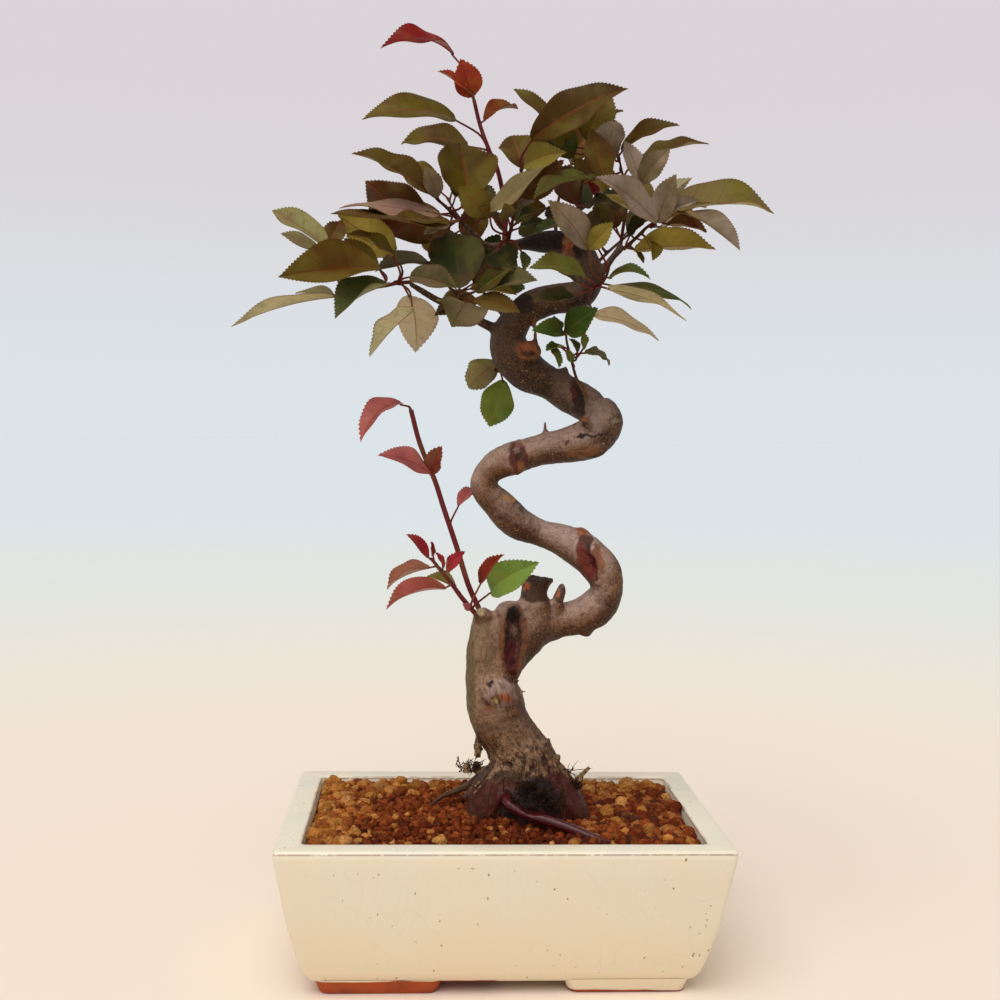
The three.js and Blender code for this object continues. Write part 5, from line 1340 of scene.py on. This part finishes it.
            [556, 208, 546, 208, 34, 505, 212, 46, 26, 4, "olive"],
            [556, 214, 546, 222, 28, 518, 234, 36, 22, 3, "dark"],
            [558, 206, 568, 212, 32, 592, 232, 40, 20, 3, "dark"],
        ],
    },
    {
        "node": "spray_back_upper_left", "thick": [1, 0.6],
        "stem": [[478, 239.8, 6.5], [468, 228, 21], [456, 213, 33], [448, 199, 41]],
        "leaves": [
            [448, 200, 440, 191, 44, 400, 166, 56, 28, 4, "bronze"],
            [449, 201, 453, 188, 44, 462, 154, 48, 32, 4, "olive"],
            [456, 213, 440, 214, 38, 388, 216, 52, 28, 4, "olive"],
            [462, 220, 474, 212, 30, 490, 184, 36, 28, 4, "dark"],
            [466, 226, 455, 234, 28, 420, 242, 42, 26, 4, "olive"],
            [462, 220, 468, 206, 30, 464, 178, 30, 22, 3, "dark"],
            [470, 230, 480, 220, 20, 496, 200, 24, 18, 3, "olive"],
        ],
    },
]
# Tones as [top, underside, midrib, the flush that clouds the top].
LEAF_TONES = {
    "olive": ["#5c4e14", "#8a7630", "#8a4a2a", "#50320f"],
    "green": ["#48561a", "#7a7c3e", "#808044", "#56481c"],
    "dark": ["#303a12", "#5e602e", "#4c4a24", "#46361e"],
    "night": ["#20240a", "#4a4c22", "#3c3c1c", "#30240f"],
    "bronze": ["#5c4c18", "#8a7838", "#8a3a24", "#58380f"],
    "brown": ["#4a2e0a", "#7c552d", "#842a1c", "#54260f"],
    # The mauve top and flush are partly the blade's own purplish tinge and partly painted sheen, the sky's
    # reflection.
    "mauve": ["#6b5a44", "#8a7838", "#84583a", "#8c7868"],
    "grey": ["#4e4a24", "#7c7842", "#6c4434", "#6a5840"],
    "pale": ["#847c4c", "#b0a47c", "#9a6048", "#7e6c4a"],
    "tan": ["#968560", "#b8a686", "#a6806a", "#8a7458"],
    "blush": ["#8a6a50", "#a08464", "#94503c", "#846458"],
    "gold": ["#84742e", "#aa9854", "#8c4a30", "#7e6a3a"],
    "bright": ["#6a8638", "#a6b06c", "#94a050", "#788434"],
    "red": ["#8a140f", "#a8483e", "#8e2420", "#6c0e0a"],
    "scarlet": ["#ac303a", "#b84848", "#bc5450", "#8c2028"],
    "leafy": ["#33501a", "#6c7a3c", "#6c7c3a", "#3c4218"],
    "ember": ["#ae4426", "#b06c44", "#962c24", "#98361e"],
    "fern": ["#4a5226", "#7c7c46", "#7a5c3c", "#625640"],
    "redbrown": ["#7c2c1a", "#a2603a", "#8a2620", "#602014"],
    "orangebrown": ["#8c481a", "#aa6c32", "#8a2c1e", "#78300f"],
    "olivebrown": ["#62500f", "#8a7634", "#863a22", "#4a300c"],
    "pink": ["#b86660", "#cc9088", "#9c3836", "#a05450"],
    "flushed": ["#9e5042", "#b8746a", "#902e2a", "#8a4034"],
    "rosy": ["#96604a", "#b48670", "#96302e", "#8a5038"],
}
# How one blade differs from the next, as the least and the most: its light and its flush, its
# twist in radians, sickle, droop, cup and waves as shares of its size, and its teeth in mm.
BLADE_MOODS = {
    "light": (0.82, 1.2), "flushed": (0.1, 0.9), "twist": (-0.6, 0.6), "sickle": (-0.04, 0.04),
    "cup": (-0.1, 0.14), "waves": (1.2, 2.6), "wave": (0.02, 0.085), "droop": (-0.02, 0.06),
    "left_phase": ANY_TURN, "right_phase": ANY_TURN, "teeth": (0.28, 0.48),
}
# The breadth of a blade for its length, and the greatest value of its outline's formula.
BLADE_RATIO = 0.47
OUTLINE_PEAK = 0.4937
BLADE_FOLD = 0.42
FOLD_RANGE = (-0.16, 0.16)
FLAT_FOLD_RANGE = (0.12, 0.34)
# The shares of a blade's breadth that are seen where it is half open, and the most times that it
# may be broader than it is seen.
HALF_OPEN = (0.4, 0.95)
MOST_TURNED = 3.2
BLADE_THICKNESS = 0.32 * MM
RIB_THICKNESS = 0.5 * MM
RIB_HALF = 0.05
TOOTH_PITCH = 1.25 * MM
LEAST_TEETH, MOST_TEETH = 9, 36
TOOTHED_SHARES = (0.04, 0.97)
TOOTH_SLANT = 0.7
DEEPEST_TOOTH = 0.3
DROOP_FROM = 0.7
# How far towards the edge each column of a blade lies, with the midrib in the middle.
BLADE_COLUMNS = [-1, -0.74, -0.42, -0.09, 0, 0.09, 0.42, 0.74, 1]
VEIN_PAIRS = 8
VEIN_SLANT = 1.5
VEIN_SWELL = 0.016
# Flushes of colour: patches per metre, large and small, and how much they count.
FLUSH_PATCHES = (75, 230)
FLUSH_SHARE = 1.1
RIB_LIGHT = 0.72
# One half of each blade is painted darker and the other lighter: painted shade and light on the two sides of
# its fold.
LEFT_HALF_PAINTED_SHADE, RIGHT_HALF_PAINTED_LIGHT = 0.94, 1.06
STALK_RADIUS = 0.48 * MM
STALK_SWELLS = [1.5, 1, 0.95, 0.8]
STALK_BOW = 0.16
STALK_FOOT = 1.4 * MM
BUD_RADII = [0.5 * MM, 0.62 * MM, 0.1 * MM]
STEM_SIDES, STALK_SIDES, BUD_SIDES = 10, 8, 6
STEM_STEPS = 13
# How far a stem runs back into its stub, a stalk into its blade, and a bud out along its stem.
STEM_ROOT = 1.6 * MM
STALK_OVERLAP = 1.2 * MM
BUD_ALONG, BUD_OUT, BUD_LENGTH = 1.2 * MM, 0.7 * MM, 1.3 * MM
YOUNG_SHOOTS = ("shoot_top_red", "shoot_lower_left", "shoot_rosette")
YOUNG_STOUTNESS, OLD_STOUTNESS = 0.92, 0.78
# The place along a leaf that its stalk, stem and buds are given, past the end of any blade.
STALK_SHARE = 2


def half_breadth(share):
    """The outline of half a blade: fullest just short of the middle, and pointed at the tip."""
    return share**0.6 * (1 - share**2.2) ** 1.2 / OUTLINE_PEAK


def add_blade(bm, layers, row, draw):
    """Adds a leaf's blade, and says where it starts and which way it points."""
    _, _, base_u, base_v, base_y, tip_u, tip_v, tip_y, seen_breadth, arch, tone = row
    base = seen(base_u, base_v, base_y)
    tip = seen(tip_u, tip_v, tip_y)
    to_viewer = VIEWPOINT * MM - (base + tip) / 2
    unit = to_viewer.length / VIEW_FOCAL
    axis = tip - base
    length = axis.length
    axis.normalize()
    facing = (to_viewer - axis * to_viewer.dot(axis)).normalized()
    rising = axis.cross(facing)
    rising *= math.copysign(1, rising.z)
    seen_width = abs(seen_breadth) * unit
    turned_off = seen_width / (BLADE_RATIO * length)
    half_open = HALF_OPEN[0] < turned_off < HALF_OPEN[1]
    fold = BLADE_FOLD + draw.uniform(*FOLD_RANGE) if half_open else draw.uniform(*FLAT_FOLD_RANGE)
    width = max(seen_width / math.cos(fold), min(BLADE_RATIO * length, MOST_TURNED * seen_width))
    tilt = math.acos(max(seen_width / width, 0.1))
    tilt = math.pi - tilt if seen_breadth < 0 else tilt
    normal = facing * math.cos(tilt) + rising * math.sin(tilt)
    side = axis.cross(normal)
    bow = arch * unit

    rows = 2 * min(MOST_TEETH, max(LEAST_TEETH, round(length / TOOTH_PITCH)))
    columns = len(BLADE_COLUMNS)
    verts = bmesh.ops.create_grid(bm, x_segments=columns - 1, y_segments=rows, size=1)["verts"]
    top, under, rib, flush = (Vector(rgb(code)) for code in LEAF_TONES[tone])
    mood = {name: draw.uniform(*limits) for name, limits in BLADE_MOODS.items()}
    seed = draw.random()
    for j in range(rows + 1):
        share = j / rows
        breadth = width / 2 * half_breadth(share) if 0 < j < rows else 0
        slope = 4 * bow * (1 - 2 * share) / length
        here = base + axis * (share * length) + normal * (4 * bow * share * (1 - share))
        here += side * (mood["sickle"] * length * 4 * share * (1 - share))
        past = max(0, share - DROOP_FROM) / (1 - DROOP_FROM)
        here -= normal * (mood["droop"] * length * past**2)
        up = (normal - axis * slope).normalized()
        turned = Matrix.Rotation(mood["twist"] * (share - 0.5), 3, axis)
        for k, part in enumerate(BLADE_COLUMNS):
            hand = -1 if part < 0 else 1
            reach = part * breadth
            edge = abs(part)
            forth = 0.0
            if edge == 1 and TOOTHED_SHARES[0] < share < TOOTHED_SHARES[1]:
                reach -= hand * min(mood["teeth"] * MM, DEEPEST_TOOTH * breadth) * (j % 2)
                forth = TOOTH_SLANT * length / rows * (1 - j % 2)
            phase = mood["left_phase" if hand < 0 else "right_phase"]
            wave = mood["wave"] * width * part * part * half_breadth(share)
            swell = abs(math.sin(math.pi * (VEIN_PAIRS * share - VEIN_SLANT * edge)))
            lift = abs(reach) * math.sin(fold) + mood["cup"] * width * (part * breadth * 2 / width) ** 2
            lift += wave * math.sin(2 * math.pi * mood["waves"] * share + phase)
            lift += VEIN_SWELL * width * swell * edge * (1 - edge) * 4 * min(1, breadth / (3 * MM))
            v = verts[j * columns + k]
            v.co = here + axis * forth + turned @ (side * (reach * math.cos(fold)) + up * lift)
            v[layers["blade"]] = (part, share, seed)
            cloud = noise.noise(v.co * FLUSH_PATCHES[0] + Vector((9 * seed, 0, 0)))
            cloud += 0.5 * noise.noise(v.co * FLUSH_PATCHES[1])
            # Each half's tone is also painted darker or lighter, as if one side of the fold faced the light.
            light = mood["light"] * (RIGHT_HALF_PAINTED_LIGHT if hand > 0 else LEFT_HALF_PAINTED_SHADE)
            v[layers["tone"]] = top.lerp(flush, min(1, max(0, mood["flushed"] + FLUSH_SHARE * cloud))) * light
            v[layers["rib"]] = rib * RIB_LIGHT
    bmesh.ops.remove_doubles(bm, verts=verts[:columns] + verts[-columns:], dist=TOUCHING)
    skin = list(dict.fromkeys(f for v in verts if v.is_valid for f in v.link_faces))
    shell = bmesh.ops.extrude_face_region(bm, geom=skin, use_keep_orig=True)
    for v in shell["geom"]:
        if isinstance(v, bmesh.types.BMVert):
            v.co -= normal * BLADE_THICKNESS
            v[layers["tone"]] = under * mood["light"] * (1 + 0.25 * noise.noise(v.co * 90))
            part, share, _ = v[layers["blade"]]
            if abs(part) < RIB_HALF:
                v.co -= normal * (RIB_THICKNESS * (1 - share) ** 0.7)
    return base, axis


def nearest_on_stem(stem, u, v):
    """The place on a stem that is seen nearest to (u, v), and the way that the stem runs there."""
    best = None
    for start, end in zip(stem, stem[1:]):
        for step in np.linspace(0, 1, STEM_STEPS):
            place = [a + (b - a) * step for a, b in zip(start, end)]
            away = math.hypot(place[0] - u, place[1] - v)
            if best is None or away < best[0]:
                best = (away, seen(*place), (seen(*end) - seen(*start)).normalized())
    return best[1], best[2]


def add_stick(bm, layers, places, radii, sides, tone):
    """A stalk, stem or bud along a smooth line through places."""
    before = set(bm.verts)
    run = [2 * places[0] - places[1], *places, 2 * places[-1] - places[-2]]
    line = []
    for i in range(len(places) - 1):
        for t in np.arange(4) / 4:
            line.append([*curve_point(*run[i : i + 4], t), radii[i] + (radii[i + 1] - radii[i]) * t])
    line.append([*places[-1], radii[-1]])
    tube(bm, np.array(line), sides)
    for v in bm.verts:
        if v not in before:
            v[layers["blade"]] = (0.5, STALK_SHARE, 0)
            v[layers["tone"]] = tone
            v[layers["rib"]] = tone


def vein_group():
    """Midrib and side veins, from the place on a blade, and how near its edge the place is."""
    group = bpy.data.node_groups.new("blade_veins", "ShaderNodeTree")
    group.interface.new_socket("Place", in_out="INPUT", socket_type="NodeSocketVector")
    group.interface.new_socket("Bend", in_out="INPUT", socket_type="NodeSocketFloat")
    for name in ("Rib", "Veins", "Edge", "Blade"):
        group.interface.new_socket(name, in_out="OUTPUT", socket_type="NodeSocketFloat")
    inlet = group.nodes.new("NodeGroupInput").outputs
    part, share, _ = axes(group, inlet["Place"])
    edge = maths(group, "ABSOLUTE", part)
    climb = raised(group, edge, times(group, share, VEIN_PAIRS), -VEIN_SLANT)
    climb = maths(group, "FRACT", maths(group, "ADD", climb, inlet["Bend"]))
    off = maths(group, "ABSOLUTE", maths(group, "SUBTRACT", climb, 0.5))
    on_blade = maths(group, "LESS_THAN", share, (1 + STALK_SHARE) / 2)
    feed(group, group.nodes.new("NodeGroupOutput"), {
        "Rib": times(group, span(group, edge, 0.045, 0.015), on_blade),
        "Veins": times(group, span(group, off, 0.055, 0), span(group, edge, 1, 0.75), on_blade),
        "Edge": edge, "Blade": on_blade,
    })
    return group


def leaf_material(name, veins, roughness, browning):
    material, tree, shader = new_material(name, roughness, 0.08)
    place = object_place(tree)
    read = {layer: node(tree, "ShaderNodeAttribute", attribute_name=layer).outputs
            for layer in ("blade", "tone", "rib")}
    tone, rib_tone = read["tone"]["Color"], read["rib"]["Color"]
    bend = raised(tree, cloudy(tree, place, 190, 2), -0.25, 0.5)
    lines = node(tree, "ShaderNodeGroup", {"Place": read["blade"]["Vector"], "Bend": bend},
                 node_tree=veins).outputs
    mottle = cloudy(tree, place, 330, 4)
    broad = cloudy(tree, place, 70, 2)
    colour = mix(tree, times(tree, span(tree, mottle, 0.5, 0.7), 0.35), tone, mix(tree, 0.5, tone, "#1c1608"))
    yellowed = mix(tree, 0.5, tone, "#8a7a3a")
    colour = mix(tree, times(tree, span(tree, broad, 0.48, 0.62), 0.3), colour, yellowed)
    colour = mix(tree, times(tree, lines["Veins"], 0.3), colour, rib_tone)
    colour = mix(tree, lines["Rib"], colour, rib_tone)
    margin = times(tree, span(tree, lines["Edge"], 0.86, 1), lines["Blade"], browning)
    colour = mix(tree, margin, colour, "#5e2a1c")
    ridges = maths(tree, "SUBTRACT", mottle, lines["Veins"])
    feed(tree, shader, {"Base Color": colour, "Normal": dented(tree, ridges, 0.35, 0.4 * MM)})
    return material


def make_shoot(shoot, young, material):
    draw = random.Random(shoot["node"])
    bm = bmesh.new()
    layers = {
        "blade": bm.verts.layers.float_vector.new("blade"),
        "tone": bm.verts.layers.float_color.new("tone"),
        "rib": bm.verts.layers.float_color.new("rib"),
    }
    stem_tone = Vector(rgb("#6e2a2c" if young else "#4a2418"))
    stalk_codes = ("#6c2a2a", "#803c3a") if young else ("#5a1a18", "#68261e", "#643626")
    stalk_tones = [Vector(rgb(code)) for code in stalk_codes]
    stem = shoot["stem"]
    places = [seen(*knot) for knot in stem]
    places[0] += (places[0] - places[1]).normalized() * STEM_ROOT
    stoutness = YOUNG_STOUTNESS if young else OLD_STOUTNESS
    thickest, thinnest = (stoutness * r * MM for r in shoot["thick"])
    radii = [thickest + (thinnest - thickest) * i / (len(stem) - 1) for i in range(len(stem))]
    add_stick(bm, layers, places, radii, STEM_SIDES, stem_tone)
    for row in shoot["leaves"]:
        base, axis = add_blade(bm, layers, row, draw)
        root, way = nearest_on_stem(stem, row[0], row[1])
        away = (base - root).length
        bend = base.lerp(root, 0.5) - axis * STALK_BOW * away
        out = (bend - root).normalized()
        foot = root + out * min(STALK_FOOT, 0.3 * away)
        add_stick(bm, layers, [root, foot, bend, base + axis * STALK_OVERLAP],
                  [STALK_RADIUS * swell for swell in STALK_SWELLS], STALK_SIDES, draw.choice(stalk_tones))
        bud = root + way * BUD_ALONG + out * BUD_OUT
        add_stick(bm, layers, [root, bud, bud + way * BUD_LENGTH], BUD_RADII, BUD_SIDES, stem_tone)
    bmesh.ops.recalc_face_normals(bm, faces=bm.faces[:])
    return finish_piece(shoot["node"] + "_leaves", bm, material, 55)


blade_veins = vein_group()
old_leaf = leaf_material("grown_leaf", blade_veins, 0.48, 0.3)
young_leaf = leaf_material("young_leaf", blade_veins, 0.42, 0.15)
for shoot in SHOOTS:
    if shoot["node"] in YOUNG_SHOOTS:
        mounted(make_shoot(shoot, True, young_leaf), "young_leaf", shoot["node"])
    else:
        mounted(make_shoot(shoot, False, old_leaf), "leaf", shoot["node"])

# The tree stands on a wide sheet of matt cream paper that is lit evenly.
# The sheet is a single flat piece: warm close to the pot, cooler and paler further off.
SHEET_HALF = 40
floor_shape = bmesh.new()
bmesh.ops.create_grid(floor_shape, x_segments=1, y_segments=1, size=SHEET_HALF)
paper, paper_tree, paper_shader = new_material("pale_floor", 0.7, 0.2)
from_pot = node(paper_tree, "ShaderNodeVectorMath", {0: object_place(paper_tree)},
                operation="LENGTH").outputs["Value"]
cream = mix(paper_tree, span(paper_tree, from_pot, 0.15, 1.3), "#f8e7d5", "#e8eae2")
cream = mix(paper_tree, span(paper_tree, from_pot, 0.7, 3), cream, "#e0e9ee")
feed(paper_tree, paper_shader, {"Base Color": cream})
finish_piece("floor", floor_shape, paper)

# The camera looks a little down at the front of the pot, from just left of its middle.
# It stands where the limbs were read off, so that rows of (u, v, depth) show where they say.
SENSOR_WIDTH = 36
camera_data = bpy.data.cameras.new("camera")
camera_data.sensor_width = SENSOR_WIDTH
camera_data.lens = SENSOR_WIDTH * VIEW_FOCAL / (2 * VIEW_CENTRE)
camera = bpy.data.objects.new("camera", camera_data)
bpy.context.scene.collection.objects.link(camera)
view_axes = Matrix((across, upwards, -forward)).transposed()
camera.matrix_world = Matrix.Translation(VIEWPOINT * MM) @ view_axes.to_4x4()
bpy.context.scene.camera = camera
bpy.context.scene.view_settings.view_transform = "Standard"

# One broad soft box hangs above, slightly to the left and in front, and pale walls stand all round.
# They light the tree evenly; behind it the wall turns from blue-white into a lilac grey.
SOFT_BOX_STRENGTH = 2.0
SOFT_BOX_BREADTH = math.radians(55)
SOFT_BOX_LEAN = (math.radians(28), math.radians(-14), 0)
WALL_STRENGTH = 0.45
lamp = bpy.data.lights.new("soft_top_light", "SUN")
lamp.energy = SOFT_BOX_STRENGTH
lamp.angle = SOFT_BOX_BREADTH
soft_box = bpy.data.objects.new("soft_top_light", lamp)
soft_box.rotation_euler = SOFT_BOX_LEAN
bpy.context.scene.collection.objects.link(soft_box)
studio = bpy.data.worlds.new("studio")
studio.use_nodes = True
studio_tree = studio.node_tree
walls = studio_tree.nodes["Background"]
feed(studio_tree, walls, {"Color": (1, 0.985, 0.97, 1), "Strength": WALL_STRENGTH})
rise = axes(studio_tree, node(studio_tree, "ShaderNodeTexCoord").outputs["Generated"])["Z"]
backdrop_colour = mix(studio_tree, span(studio_tree, rise, 0, 0.25), "#dce4e8", "#dad4d8")
backdrop = node(studio_tree, "ShaderNodeBackground", {"Color": backdrop_colour, "Strength": 1})
seen_directly = node(studio_tree, "ShaderNodeLightPath").outputs["Is Camera Ray"]
both = node(studio_tree, "ShaderNodeMixShader",
            {0: seen_directly, 1: walls.outputs[0], 2: backdrop.outputs[0]})
feed(studio_tree, studio_tree.nodes["World Output"], {"Surface": both.outputs[0]})
bpy.context.scene.world = studio
